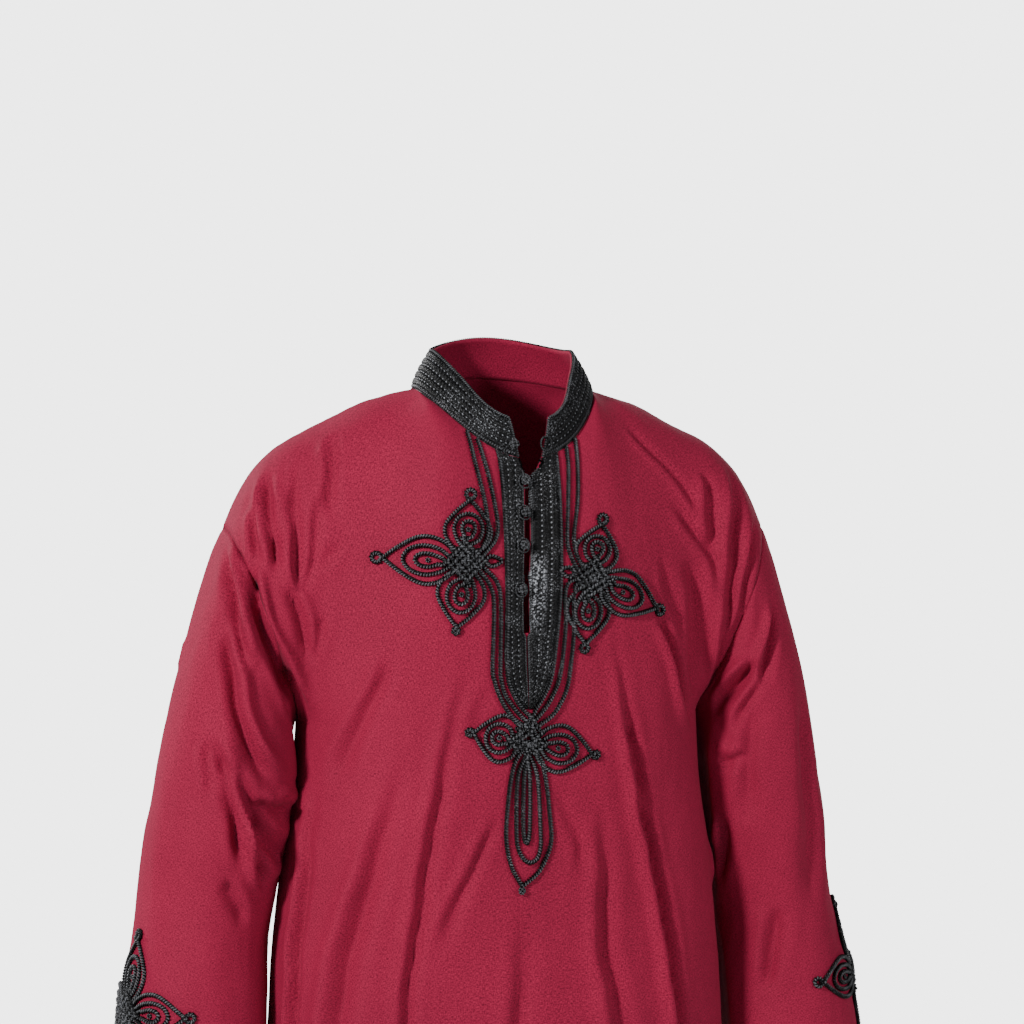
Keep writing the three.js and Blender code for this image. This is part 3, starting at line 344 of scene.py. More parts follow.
frontFolds = [
    crease(10.5, 11, -0.8, 1.35, (-106, -298), (-116, -338), (-128, -383), (-141, -427), (-157, -482),
           (-167, -531), (-180, -640), (-192, -830)),
    crease(7.5, 7.5, -0.9, 1.08, (-46, -214), (-59, -249), (-68, -285), (-79, -338), (-87, -382),
           (-95, -427), (-102, -471), (-110, -525), (-120, -640), (-128, -830)),
    crease(5, 6.5, -0.8, 1.17, (-28, -366), (-46, -406), (-63, -441), (-76, -472), (-84, -498)),
    crease(4, 6, -0.7, 1.17, (-35, -249), (-41, -264), (-47, -278), (-52, -298)),
    crease(7, 10, -0.6, 1.44, (-6, -443), (-6, -483), (-9, -532), (-13, -640), (-16, -830)),
    crease(4, 6.5, -0.6, 1.26, (21, -341), (33, -368), (45, -396), (51, -432)),
    crease(9, 10, -0.8, 1.26, (45, -337), (57, -356), (68, -375), (72, -416), (70, -461), (72, -497),
           (81, -539), (94, -640), (106, -830)),
    crease(11.5, 6.5, -0.9, 1, (80, -190), (82, -217), (87, -244), (93, -281), (101, -327), (109, -373),
           (120, -410), (128, -452), (137, -494), (145, -541), (155, -640), (165, -830)),
    crease(4, 7.5, -0.6, 1.35, (88, -285), (103, -318), (113, -355), (120, -392)),
    crease(10.5, 6.5, -0.8, 1.08, (124, -192), (133, -206), (145, -229), (153, -258), (163, -282),
           (173, -302)),
    crease(9, 11, -0.4, 1.53, (162, -143), (171, -176), (175, -222), (178, -279)),
    crease(4.5, 6, -0.5, 1.26, (134, -142), (140, -174), (151, -202), (158, -230)),
    crease(4.5, 5, -0.7, 1.08, (106, -19), (127, -42), (146, -60), (162, -79), (175, -97), (182, -113)),
    crease(5.5, 6.5, -0.7, 1.26, (146, -90), (163, -111), (178, -130), (192, -149), (200, -172),
           (205, -205)),
    crease(7.5, 6.5, -0.7, 1.26, (186, -63), (191, -84), (192, -112), (192, -144)),
    crease(9, 7.5, -0.8, 1.17, (217, -58), (220, -75), (219, -103), (214, -140), (211, -177),
           (208, -205), (204, -243), (201, -272), (196, -288)),
    crease(9, 7.5, -0.8, 1.26, (-178, -328), (-184, -369), (-190, -406), (-194, -451), (-199, -488),
           (-203, -537), (-208, -640), (-213, -830)),
    crease(7, 8.5, -0.6, 1.44, (-124, -222), (-134, -258), (-145, -281), (-155, -303), (-164, -326),
           (-175, -352)),
    crease(7.5, 5, -0.8, 1.08, (-190, -53), (-198, -68), (-201, -99), (-201, -130), (-200, -161),
           (-198, -189)),
    crease(4.5, 5, -0.6, 1.17, (-179, -72), (-181, -99), (-184, -125), (-190, -154), (-195, -179)),
    crease(7.5, 6.5, -0.7, 1.35, (-161, -29), (-168, -63), (-170, -90), (-168, -111)),
    crease(4.5, 6, -0.6, 1.35, (-207, -65), (-208, -90), (-210, -130)),
    crease(4, 6, 0.6, 1.26, (-159, -130), (-172, -141), (-182, -152)),
    crease(4, 6.5, 0.5, 1.35, (-179, -190), (-182, -215), (-187, -240)),
]
backFolds = [
    crease(9, 22, 0.6, 1.7, (-150, -130), (-142, -240), (-128, -380), (-118, -560), (-112, -830)),
    crease(7.5, 15, -0.7, 1.4, (-74, -240), (-60, -380), (-52, -560), (-46, -830)),
    crease(6, 19, 0.5, 1.7, (6, -330), (14, -480), (20, -640), (22, -830)),
    crease(9, 15, -0.7, 1.3, (86, -210), (80, -360), (86, -540), (92, -830)),
    crease(7.5, 21, 0.6, 1.6, (158, -140), (150, -260), (152, -420), (160, -600), (166, -830)),
    crease(6, 12, 0.7, 1.4, (-196, -70), (-206, -130), (-206, -200)),
    crease(6, 12, -0.7, 1.4, (194, -66), (205, -128), (204, -196)),
    crease(4.5, 15, 0.5, 1.6, (-120, -52), (-150, -110), (-180, -170)),
    crease(4.5, 15, -0.5, 1.6, (118, -56), (148, -116), (176, -176)),
]
sleeveFolds = [
    crease(10.5, 6, -0.8, 1.2, (-222, -62), (-225, -90), (-223, -116), (-220, -139), (-217, -159)),
    crease(6.5, 5.5, -0.6, 1.29, (-235, -95), (-237, -121), (-235, -143)),
    crease(13.5, 6, 0.9, 1.01, (-231, -139), (-239, -148), (-238, -170), (-231, -198), (-220, -223),
           (-210, -242), (-199, -261), (-191, -276), (-184, -291)),
    crease(6.5, 5, -0.6, 1.2, (-254, -122), (-250, -143), (-246, -165), (-241, -187), (-232, -209),
           (-223, -232), (-215, -251), (-207, -270), (-197, -300), (-191, -328)),
    crease(12.5, 7, 0.8, 1.2, (-260, -131), (-258, -153), (-256, -179), (-253, -205), (-249, -227),
           (-243, -246)),
    crease(13.5, 8, 0.9, 1.1, (-267, -188), (-264, -214), (-260, -240), (-256, -267), (-251, -293),
           (-243, -313), (-230, -332), (-215, -354)),
    crease(13.5, 8, -0.8, 1.1, (-264, -315), (-255, -337), (-247, -356), (-238, -374), (-226, -394),
           (-211, -411), (-199, -422)),
    crease(12.5, 6, -0.7, 1.1, (-242, -369), (-237, -397), (-230, -422), (-225, -442)),
    crease(12.5, 7, 0.8, 1.2, (-279, -296), (-272, -315), (-266, -333), (-261, -355), (-256, -382),
           (-250, -405), (-243, -426)),
    crease(6.5, 5.5, -0.6, 1.2, (-283, -301), (-281, -324), (-278, -342), (-271, -352)),
    crease(10.5, 8, 0.6, 1.38, (-239, -356), (-220, -369), (-195, -371)),
    crease(8.5, 6, 0.7, 1.2, (-212, -161), (-202, -183), (-195, -210), (-189, -238)),
    crease(6.5, 8, 0.5, 1.47, (-268, -427), (-256, -447), (-243, -471)),
    crease(8.5, 5.5, -0.7, 1.1, (245, -108), (233, -136), (226, -168), (221, -205), (212, -233),
           (205, -253)),
    crease(10.5, 5.5, -0.8, 1.1, (258, -188), (251, -225), (244, -250), (236, -271)),
    crease(12.5, 7, -0.8, 1.2, (238, -241), (224, -257), (213, -271), (202, -286), (199, -306)),
    crease(6.5, 5.5, -0.6, 1.2, (240, -263), (227, -280), (218, -297), (215, -312)),
    crease(7, 7, -0.5, 1.38, (222, -329), (214, -337), (202, -341)),
    crease(10.5, 6, -0.6, 1.2, (206, -388), (212, -405), (213, -436), (214, -463)),
    crease(8.5, 9.5, -0.6, 1.47, (259, -476), (256, -514), (247, -560)),
    crease(6.5, 10.5, -0.5, 1.56, (230, -280), (228, -336), (227, -403)),
    crease(6.5, 10.5, 0.5, 1.56, (284, -273), (288, -339), (296, -416), (299, -492)),
]
sleeveBackFolds = [
    crease(9, 14, 0.7, 1.3, (-300, -230), (-280, -290), (-252, -340), (-226, -372)),
    crease(7.5, 14, 0.6, 1.3, (-306, -330), (-284, -380), (-250, -420)),
    crease(6, 16, -0.5, 1.6, (-262, -450), (-272, -540), (-276, -670)),
    crease(9, 14, -0.7, 1.3, (296, -220), (276, -284), (248, -336), (224, -366)),
    crease(7.5, 14, -0.6, 1.3, (304, -320), (282, -372), (250, -412)),
    crease(6, 16, 0.5, 1.6, (268, -450), (280, -540), (286, -670)),
]

# How far folds reach and where their ridge and the lip on the other side stand, in half widths, how
# much their lines wander, and the half width to which those that reach the hem open out above it.
folding = dict(step=4, reach=3.4, ridgeAt=1.45, ridgeWidth=0.9, lipAt=1.8, lip=0.25, wander=1.1,
               hemWidth=17, opening=(520, 780), starts=0.24, ends=0.72, facing=(-0.15, 0.25))


def foldMove(fold, face, number, points, normals, tree):
    hem = torso[-1]["z"]
    toHem = fold["line"][-1][1] < hem
    flat = spaced(spline(fold["line"]), folding["step"])
    z = flat[:, 1]
    flat[:, 0] += folding["wander"] * np.sin(z / 11 + number * 2.1) * np.sin(z / 29 + number)
    path = np.array([onto(tree, face, x, max(z, hem + 2)) * (1, 1, 0) + (0, 0, z) for x, z in flat])
    path[:, 1] = evened(path[:, 1], 2)
    reach = folding["reach"] * max(fold["width"], folding["hemWidth"] if toHem else 0)
    near = np.all((points > path.min(0) - reach) & (points < path.max(0) + reach), axis=1)
    near &= normals[:, 1] * outward[face] > folding["facing"][0]
    picked = np.nonzero(near)[0]
    move = np.zeros(len(points))
    along = unit(np.gradient(path, axis=0))
    for part in np.array_split(picked, max(len(picked) // 4000, 1)):
        away = points[part][:, None, :] - path[None]
        nearest = np.argmin((away ** 2).sum(-1), axis=1)
        off = away[np.arange(len(part)), nearest]
        t = along[nearest]
        off = off - t * (off * t).sum(-1, keepdims=True)
        side = np.sign(off[:, 0] * -t[:, 2] + off[:, 2] * t[:, 0])
        share = nearest / (len(path) - 1)
        width = fold["width"] * (0.8 + 0.3 * np.sin(share * 5 + number * 1.7) * share + 0.25 * share)
        ends = smooth(share, 0, folding["starts"]) * (1 - smooth(share, folding["ends"], 1))
        if toHem:
            ends = smooth(share, 0, 0.3)
            opening = smooth(-path[nearest, 2], *folding["opening"])
            width = np.maximum(width, folding["hemWidth"] * opening)
        q = np.linalg.norm(off, axis=1) / width * side * np.sign(fold["ridge"])
        trough = np.exp(-np.abs(q) ** fold["edge"])
        ridge = abs(fold["ridge"]) * np.exp(-((q - folding["ridgeAt"]) / folding["ridgeWidth"]) ** 2)
        lip = folding["lip"] * abs(fold["ridge"]) * np.exp(-(q + folding["lipAt"]) ** 2)
        facing = smooth(normals[part, 1] * outward[face], *folding["facing"])
        move[part] = fold["depth"] * ends * facing * (ridge + lip - trough)
    return move


# Where folds are held back: at the embroidery, which stiffens the cloth around the neck slit, and
# under the arms, where the cloth of sleeve and body lies close together.
stiff = dict(across=(34, 80), down=(-400, -310), share=0.75, armX=192, armZ=-300, armShape=0.6,
             armReach=(14, 42))


def stillness(points):
    # The share of the folds that is left.
    across = 1 - smooth(abs(points[:, 0]), *stiff["across"])
    down = smooth(points[:, 2], *stiff["down"])
    still = np.where(points[:, 1] < 0, 1 - stiff["share"] * across * down, 1)
    away = (abs(points[:, 0]) - stiff["armX"], stiff["armShape"] * points[:, 1],
            stiff["armShape"] * (points[:, 2] - stiff["armZ"]))
    return still * smooth(np.sqrt(sum(part ** 2 for part in away)), *stiff["armReach"])


def wrinkles(points):
    # Slight unevenness of hanging cloth, longer down than across: how high, how wide and how long.
    waves = [(2.6, 75, 250), (1.1, 26, 90), (0.35, 9, 24)]
    move = np.zeros(len(points))
    for size, across, down in waves:
        scaled = points / (across, across, down) + size
        move += size * np.array([noise.noise(p) for p in scaled.tolist()])
    return move


base = cloth.tree("front", "back", "sleeve_right", "sleeve_left")
normals = cloth.normals()
move = np.zeros(len(cloth.points))
for face, folds in (("front", frontFolds), ("back", backFolds), ("front", sleeveFolds),
                    ("back", sleeveBackFolds)):
    for number, fold in enumerate(folds):
        move += foldMove(fold, face, number, cloth.points, normals, base)
move = (move + wrinkles(cloth.points)) * stillness(cloth.points)

# Seams draw the cloth in a little, unevenly, and the stitching of the turned hem and cuffs draws in a
# line above their edges.
sewing = dict(depth=0.9, uneven=0.35, every=7)
stitching = dict(row=-7, depth=0.8)
arm = steps["arm"]
seams = [cloth.index[face][: arm + 1, end] for face in ("front", "back") for end in (0, -1)]
seams += [cloth.index["front"][arm:, end] for end in (0, -1)]
for line in seams:
    pucker = [noise.noise(Vector(p) / sewing["every"]) for p in cloth.points[line].tolist()]
    move[line] -= sewing["depth"] + sewing["uneven"] * np.array(pucker)
for index in cloth.index.values():
    move[index[stitching["row"]]] -= stitching["depth"]
cloth.points += normals * move[:, None]
print("folds made")


def gridObject(name, points, size, wrapped=False, missing=None, values=None):
    # Rows run down and columns run so that down x across points out. Size is in metres, for the UVs,
    # and values are the painted highlight that its material reads.
    if wrapped:
        points = np.concatenate([points, points[:, :1]], 1)
        values = values if values is None else np.concatenate([values, values[:, :1]], 1)
    rows, columns = points.shape[:2]
    bm = bmesh.new()
    bmesh.ops.create_grid(bm, x_segments=columns - 1, y_segments=rows - 1, size=0.5)
    mesh = bpy.data.meshes.new(name)
    bm.to_mesh(mesh)
    flat = np.empty(len(mesh.vertices) * 3)
    mesh.vertices.foreach_get("co", flat)
    flat = flat.reshape(-1, 3)
    column = np.rint((flat[:, 0] + 0.5) * (columns - 1)).astype(int)
    row = np.rint((0.5 - flat[:, 1]) * (rows - 1)).astype(int)
    mesh.vertices.foreach_set("co", (points[row, column] * mm).ravel())
    corner = np.empty(len(mesh.loops), int)
    mesh.loops.foreach_get("vertex_index", corner)
    uv = np.stack([column / (columns - 1) * size[0], row / (rows - 1) * size[1]], 1)[corner]
    mesh.uv_layers.new(name="thread").data.foreach_set("uv", uv.ravel())
    if values is not None:
        paintedShine = mesh.color_attributes.new("paintedShine", "FLOAT_COLOR", "POINT")
        paintedShine.data.foreach_set("color", np.repeat(values[row, column], 4))
    bm.clear()
    bm.from_mesh(mesh)
    bm.faces.ensure_lookup_table()
    if missing is not None:
        corners = [[v.index for v in f.verts] for f in bm.faces]
        gone = [f for f, ids in zip(bm.faces, corners) if missing[min(row[ids]), min(column[ids])]]
        bmesh.ops.delete(bm, geom=gone, context="FACES")
    if wrapped:
        bmesh.ops.remove_doubles(bm, verts=bm.verts, dist=1e-6)
    for f in bm.faces:
        f.smooth = True
    bm.to_mesh(mesh)
    bm.free()
    obj = bpy.data.objects.new(name, mesh)
    bpy.context.scene.collection.objects.link(obj)
    return obj


def addWall(obj, thickness):
    # Gives the cloth its thickness, inwards from its outer side.
    wall = obj.modifiers.new("wall", "SOLIDIFY")
    wall.thickness = thickness
    wall.offset = -1


def dress(obj, node, material):
    obj.data.materials.clear()
    obj.data.materials.append(material)
    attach(obj, "root")
    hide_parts(node)
    return obj


def fill(tree, node, inputs):
    # Gives the inputs of a node their values, or links them to the outputs of other nodes.
    for name, value in inputs.items():
        socket = node.inputs[name]
        if isinstance(value, bpy.types.NodeSocket):
            tree.links.new(value, socket)
        else:
            socket.default_value = (*value, 1) if socket.type == "RGBA" else value


def add(tree, kind, inputs):
    node = tree.nodes.new("ShaderNode" + kind)
    fill(tree, node, inputs)
    return node


def nodeMaterial(name):
    material = bpy.data.materials.new(name)
    material.use_nodes = True
    return material, material.node_tree, material.node_tree.nodes["Principled BSDF"]


def threadNoise(tree, source, scale, detail, stretch=(1, 1, 1)):
    # Noise in the metres of its source, finer along a direction whose stretch is greater.
    place = add(tree, "Mapping", {"Scale": stretch, "Vector": source}).outputs["Vector"]
    return add(tree, "TexNoise", {"Scale": scale, "Detail": detail, "Vector": place}).outputs["Fac"]


def ramp(tree, source, *stops):
    # Each stop is a place from 0 to 1 and a color, or a number where the color is gray.
    made = add(tree, "ValToRGB", {"Fac": source})
    for (at, color), element in zip(stops, list(made.color_ramp.elements)):
        element.position = at
        element.color = (*color, 1) if isinstance(color, tuple) else (color, color, color, 1)
    return made.outputs["Color"]


def blended(tree, mode, a, b, share=1.0):
    mix = tree.nodes.new("ShaderNodeMix")
    mix.data_type = "RGBA"
    mix.blend_type = mode
    fill(tree, mix, {"Factor": share, 6: a, 7: b})
    return mix.outputs[2]


def bumped(tree, shader, height, strength, distance):
    bump = add(tree, "Bump", {"Strength": strength, "Distance": distance, "Height": height})
    fill(tree, shader, {"Normal": bump.outputs["Normal"]})


wine = dict(deep=(0.130, 0.0040, 0.0190), lit=(0.355, 0.0150, 0.0530), roughness=0.78, specular=0.14,
            sheen=0.03, sheenRoughness=0.45, sheenTint=(1.0, 0.45, 0.58), weaveDepth=0.0006)


def wineCloth():
    material, tree, shader = nodeMaterial("wine_cloth")
    uv = tree.nodes.new("ShaderNodeUVMap")
    uv.uv_map = "thread"
    place = uv.outputs["UV"]
    warp = threadNoise(tree, place, 1, 2, (1500, 480, 1))
    weft = threadNoise(tree, place, 1, 2, (480, 1500, 1))
    mottle = threadNoise(tree, place, 90, 4)
    drift = threadNoise(tree, place, 9, 2)
    weave = blended(tree, "MIX", warp, weft, 0.5)
    color = ramp(tree, weave, (0.38, wine["deep"]), (0.62, wine["lit"]))
    color = blended(tree, "MULTIPLY", color, ramp(tree, mottle, (0.3, 0.96), (0.7, 1.03)))
    color = blended(tree, "MULTIPLY", color, ramp(tree, drift, (0.3, 0.92), (0.7, 1.06)))
    fill(tree, shader, {"Base Color": color, "Roughness": wine["roughness"],
                        "Specular IOR Level": wine["specular"], "Sheen Weight": wine["sheen"],
                        "Sheen Roughness": wine["sheenRoughness"], "Sheen Tint": wine["sheenTint"]})
    bumped(tree, shader, weave, 0.35, wine["weaveDepth"])
    return material


wineMaterial = wineCloth()

# The four panels of cloth: the cut and its area, and the metres of thread that its UVs run over.
panels = {
    "front": dict(cut=(0.56, 0.84), area=0.44, rows=0.80, columns=0.53, rests=["back"]),
    "back": dict(cut=(0.56, 0.86), area=0.45, rows=0.80, columns=0.53, rests=["front"]),
    "sleeve_right": dict(cut=(0.44, 0.56), area=0.235, rows=0.56, columns=0.43, rests=["front"]),
    "sleeve_left": dict(cut=(0.44, 0.56), area=0.235, rows=0.56, columns=0.43, rests=["front"]),
}
shellWall = 0.0009
for name, facts in panels.items():
    index = cloth.index[name]
    piece = gridObject(name + "_cloth", cloth.points[index], (facts["columns"], facts["rows"]),
                       wrapped=name in cloth.closed, missing=cloth.open if name == "front" else None)
    addWall(piece, shellWall)
    dress(piece, name, wineMaterial)
print("panels made")

# The black thread's own colour, and the painted glint colour, a painted highlight standing in for light
# caught by the thread, with how much of it braid and cord get.
thread = dict(dark=(0.0008, 0.0007, 0.0010), paintedGlint=(0.34, 0.35, 0.38), roughness=0.42, specular=0.16,
              twistDepth=0.0004, braidPaintedGlints=0.7, cordPaintedGlints=0.6)


def threadWithPaintedGlints():
    # What the black materials share: painted glints, a painted highlight in the colour where thread
    # would catch the light, and how high its fine twist is.
    group = bpy.data.node_groups.new("threadWithPaintedGlints", "ShaderNodeTree")
    for name, kind in (("Place", "Vector"), ("PaintedGlints", "Float"), ("PaintedHighlights", "Color")):
        group.interface.new_socket(name, in_out="INPUT", socket_type="NodeSocket" + kind)
    group.interface.new_socket("PaintedLight", in_out="OUTPUT", socket_type="NodeSocketColor")
    group.interface.new_socket("Height", in_out="OUTPUT", socket_type="NodeSocketFloat")
    given = group.nodes.new("NodeGroupInput").outputs
    flecks = threadNoise(group, given["Place"], 950, 2)
    broad = threadNoise(group, given["Place"], 45, 3)
    twist = threadNoise(group, given["Place"], 1600, 2)
    fine = ramp(group, flecks, (0.57, 0), (0.70, 1))
    dense = ramp(group, broad, (0.42, 0.1), (0.66, 1))
    spots = blended(group, "MULTIPLY", blended(group, "MULTIPLY", fine, dense), given["PaintedGlints"])
    paintedGleam = blended(group, "ADD", spots, given["PaintedHighlights"])
    fill(group, group.nodes.new("NodeGroupOutput"), {"PaintedLight": paintedGleam, "Height": twist})
    return group


paintedGlintNodes = threadWithPaintedGlints()


def blackThread(name, paintedGlintShare):
    material, tree, shader = nodeMaterial(name)
    place = tree.nodes.new("ShaderNodeTexCoord").outputs["Object"]
    # The painted highlight carried by each mesh lightens the black here.
    paintedShine = tree.nodes.new("ShaderNodeAttribute")
    paintedShine.attribute_name = "paintedShine"
    look = tree.nodes.new("ShaderNodeGroup")
    look.node_tree = paintedGlintNodes
    fill(tree, look, {"Place": place, "PaintedGlints": paintedGlintShare, "PaintedHighlights": paintedShine.outputs["Color"]})
    # The black is painted lighter where the mask says: painted highlights, not a colour of the thread.
    color = blended(tree, "MIX", thread["dark"], thread["paintedGlint"], look.outputs["PaintedLight"])
    fill(tree, shader, {"Base Color": color, "Roughness": thread["roughness"],
                        "Specular IOR Level": thread["specular"]})
    bumped(tree, shader, look.outputs["Height"], 0.6, thread["twistDepth"])
    return material


braidMaterial = blackThread("black_braid", thread["braidPaintedGlints"])
cordMaterial = blackThread("black_cord", thread["cordPaintedGlints"])

# Rows of braid from one edge to the other: a kind and a width each.
bandRows = [("cord", 2.4), *[("plait", 6.3), ("chain", 1.0)] * 2, ("plait", 5.6), ("cord", 2.4)]
collarRows = [("cord", 2.0), *[("plait", 5.2), ("chain", 1.0)] * 4, ("plait", 5.2), ("cord", 3.0)]
# The length of a plait's turn, the share of its width that a strand takes, how round the strands are
# and how far they rise as they cross, and how far the braid lies off the cloth.
braid = dict(turn=11.0, strand=0.27, dome=0.95, crossing=0.38, lift=0.25, uneven=0.10)


def plait(u, v, width):
    # Three flat strands plaited along u, each over and under the others in turn.
    strand = braid["strand"] * width
    swing = 0.5 * width - strand
    height = np.zeros(np.broadcast(u, v).shape)
    for k in range(3):
        angle = 2 * math.pi * (u / braid["turn"] + k / 3)
        off = (v - swing * np.sin(angle)) / strand
        dome = np.sqrt(np.maximum(1 - off ** 2, 0))
        made = 0.55 + braid["crossing"] * np.sin(2 * angle) + braid["dome"] * dome
        height = np.maximum(height, np.where(abs(off) < 1, made, 0))
    return height


def relief(rows, u, v):
    # Height, and painted highlight, of the rows of braid at u along and v across, in millimetres.
    height = np.zeros(v.shape)
    paintedShine = np.zeros(v.shape)
    start = 0
    for number, (kind, width) in enumerate(rows):
        inside = (v >= start) & (v <= start + width)
        local = v - start - width / 2
        along = u + 3.7 * number
        if kind == "plait":
            made = 0.5 + plait(along, local, width)
            paintedGleam = 0 * v
        else:
            dome = np.sqrt(np.maximum(1 - (local / (width / 2)) ** 2, 0))
            # Chain and edge cords get a painted highlight on the crown of each bead, lighter colour in
            # place of light caught there.
            pitch, slant, paintedGloss = (4.6, 0, 0.9) if kind == "chain" else (2.2, 0.8, 0.3)
            beads = np.sin(2 * math.pi * (along / pitch + local / width * slant))
            made = 0.75 + 0.5 * width ** 0.5 * dome + 0.28 * beads * dome
            paintedGleam = paintedGloss * dome * smooth(beads, 0.5, 0.95)
        height = np.where(inside, made, height)
        paintedShine = np.where(inside, paintedGleam, paintedShine)
        start += width
    return height, paintedShine


def gridNormals(points):
    return unit(np.cross(np.gradient(points, axis=0), np.gradient(points, axis=1)))


def braidObject(name, base, rows, across, along, paintedSparkle=0.0):
    # Braid on a grid of places on the cloth, its outer edges turned down to it. Where it is given a
    # patch of painted glints, its raised thread is painted lighter, a painted highlight.
    normals = gridNormals(base)
    height, paintedShine = relief(rows, along, across)
    down, over = height.shape
    coarse = np.random.default_rng(11).random((down // 2 + 1, over // 2 + 1))
    specks = smooth(np.repeat(np.repeat(coarse, 2, 0), 2, 1)[:down, :over], 0.5, 0.9)
    # Raised thread in the patch is painted lighter in speckles: painted glints.
    paintedShine = paintedShine + paintedSparkle * smooth(height, 1.0, 1.8) * specks
    edge = np.ones(height.shape)
    edge[0] = edge[-1] = edge[:, 0] = edge[:, -1] = 0
    uneven = 1 + braid["uneven"] * np.sin(along / 17) * np.sin(across / 5 + along / 31)
    points = base + normals * (braid["lift"] + height * edge * uneven)[..., None]
    return gridObject(name, points, (0.03, 0.3), values=paintedShine * edge)


def necklineZ(x):
    return lerp(neck["frontZ"], neck["sideZ"], np.minimum(abs(x) / neck["halfWidth"], 1) ** 2)


# The braid of the two bands beside the neck slit, down to where they meet below it, and where the
# one on the wearer's left gets a patch of painted glints, a painted highlight on its raised thread.
bandSize = dict(rows=420, columns=56, topZ=-56, meetsZ=-206, joinedZ=-213, overlap=0.8, gap=0.4,
                seam=0.35)
paintedSparkleBand = dict(top=(-152, -132), bottom=(-216, -184), across=(0.3, 0.6))


def bandObject(name, side, tree):
    share = np.linspace(0, 1, bandSize["rows"] + 1)[:, None] ** 0.92
    across = np.linspace(0, 1, bandSize["columns"] + 1)[None, :]
    z = lerp(bandSize["topZ"], placket[-1]["z"], share)
    joined = smooth(z, bandSize["joinedZ"], bandSize["meetsZ"])
    below = lerp(bandSize["seam"], slit["halfGap"] + bandSize["gap"], joined)
    edge = np.where(z > bandSize["meetsZ"], slitHalfGap(z) + bandSize["gap"], below)
    inner = sizeAt(placket, "slit", z) + side * edge
    outer = sizeAt(placket, "middle", z) + side * sizeAt(placket, "halfWidth", z)
    x = lerp(inner, side * np.maximum(side * outer, side * inner + 1.5), across)
    top = necklineZ(x - sizeAt(placket, "slit", neck["frontZ"])) - bandSize["overlap"]
    z = np.minimum(lerp(np.minimum(z, top), top, (1 - share) ** 6), top)
    base = np.array([[onto(tree, "front", a, b) for a, b in zip(*line)] for line in zip(x, z)])
    base = np.stack([base[..., 0], smoothed(base[..., 1]), base[..., 2]], -1)
    width = sum(w for _, w in bandRows)
    if side < 0:
        base, across = base[:, ::-1], across[:, ::-1]
    # The patch of painted glints, near the slit on the wearer's left band.
    paintedSparkle = smooth(z, *paintedSparkleBand["bottom"]) * (1 - smooth(z, *paintedSparkleBand["top"]))
    paintedSparkle = paintedSparkle * (1 - smooth(across, *paintedSparkleBand["across"])) * (side > 0)
    rowsAt = across * width + 0 * z
    return braidObject(name, base, bandRows, rowsAt, -z + 0 * across, paintedSparkle)


def smoothed(values, times=2):
    for _ in range(times):
        p = np.pad(values, 1, mode="edge")
        values = (p[:-2, 1:-1] + p[2:, 1:-1] + p[1:-1, :-2] + p[1:-1, 2:] + 2 * values) / 6
    return values


fineFront = cloth.tree("front")
sewnOn = {name: [] for name in panels}
for name, side in (("placket_braid_right", -1), ("placket_braid_left", 1)):
    woven = bandObject(name + "_woven", side, fineFront)
    sewnOn["front"].append(dress(woven, name, braidMaterial))
print("bands made")

collar = dict(height=36, lean=19, frontLean=-6, gap=0.5, flare=8, bow=1.6)


def collarPoint(share, rise):
    # share runs from one side of the slit (-1) round the back (0) to the other (1), rise from 0 to 1.
    share, rise = np.broadcast_arrays(share, rise)
    side = np.where(share < 0, -1.0, 1.0)
    away = 1 - abs(share)
    inFront = away < 0.5
    at = np.where(inFront, away * 2, (1 - away) * 2)
    start = 0.2 * slitHalfGap(neck["frontZ"]) / necklinePoint("front", 0.2)[0]
    fromSlit = np.where(at < 0.2, start + at / 0.2 * (0.2 - start), at)
    base = np.where(inFront[..., None], necklinePoint("front", fromSlit), necklinePoint("back", at))
    frontness = np.where(inFront, 1 - smooth(at, 0, 0.6), 0)
    drift = np.where(inFront, slitDrift(at * 5 / 12, neck["frontZ"]), 0)
    lean = lerp(collar["lean"], -collar["frontLean"], frontness) * rise
    inward = unit(-base * (1, 1, 0))
    bow = collar["bow"] * np.sin(math.pi * rise)
    moved = base + inward * (lean - bow)[..., None]
    return np.stack([side * (moved[..., 0] + frontness * collar["flare"] * rise) + drift, moved[..., 1],
                     moved[..., 2] + collar["gap"] + collar["height"] * rise], -1)


# The stand is a grid of columns round the neck and rows down it, and so is the braid that faces it,
# whose pattern runs by the length of its measured row.
def collarGrid(end, columns, top, low, rows):
    return collarPoint(np.linspace(end, -end, columns)[None, :], np.linspace(top, low, rows)[:, None])


stand = collarGrid(1, 161, 1, -0.05, 13)
standObject = gridObject("collar_stand_cloth", stand, (0.48, 0.036))
addWall(standObject, 2 * shellWall)  # folded double
dress(standObject, "collar_stand", wineMaterial)

facing = dict(end=0.994, columns=861, top=0.962, low=-0.035, rows=75, measured=36)
face = collarGrid(facing["end"], facing["columns"], facing["top"], facing["low"], facing["rows"])
rise = np.linspace(facing["top"], facing["low"], facing["rows"])[:, None]
across = (1 - rise) * collar["height"] + np.zeros(face.shape[:2])
along = lengths(face[facing["measured"]])[None, :] + np.zeros(face.shape[:2])
collarBraid = braidObject("collar_braid_woven", face, collarRows, across, along)
dress(collarBraid, "collar_braid", braidMaterial)
print("collar made")

# Two plies twisted round each other: the tube of a ply, how far it runs from the cord's middle, and
# the length of a full turn.
cordSize = dict(ply=1.34, apart=1.09, turn=5.2, step=0.78, sides=6, lie=1.6, hop=2.1, hopLength=2.4)


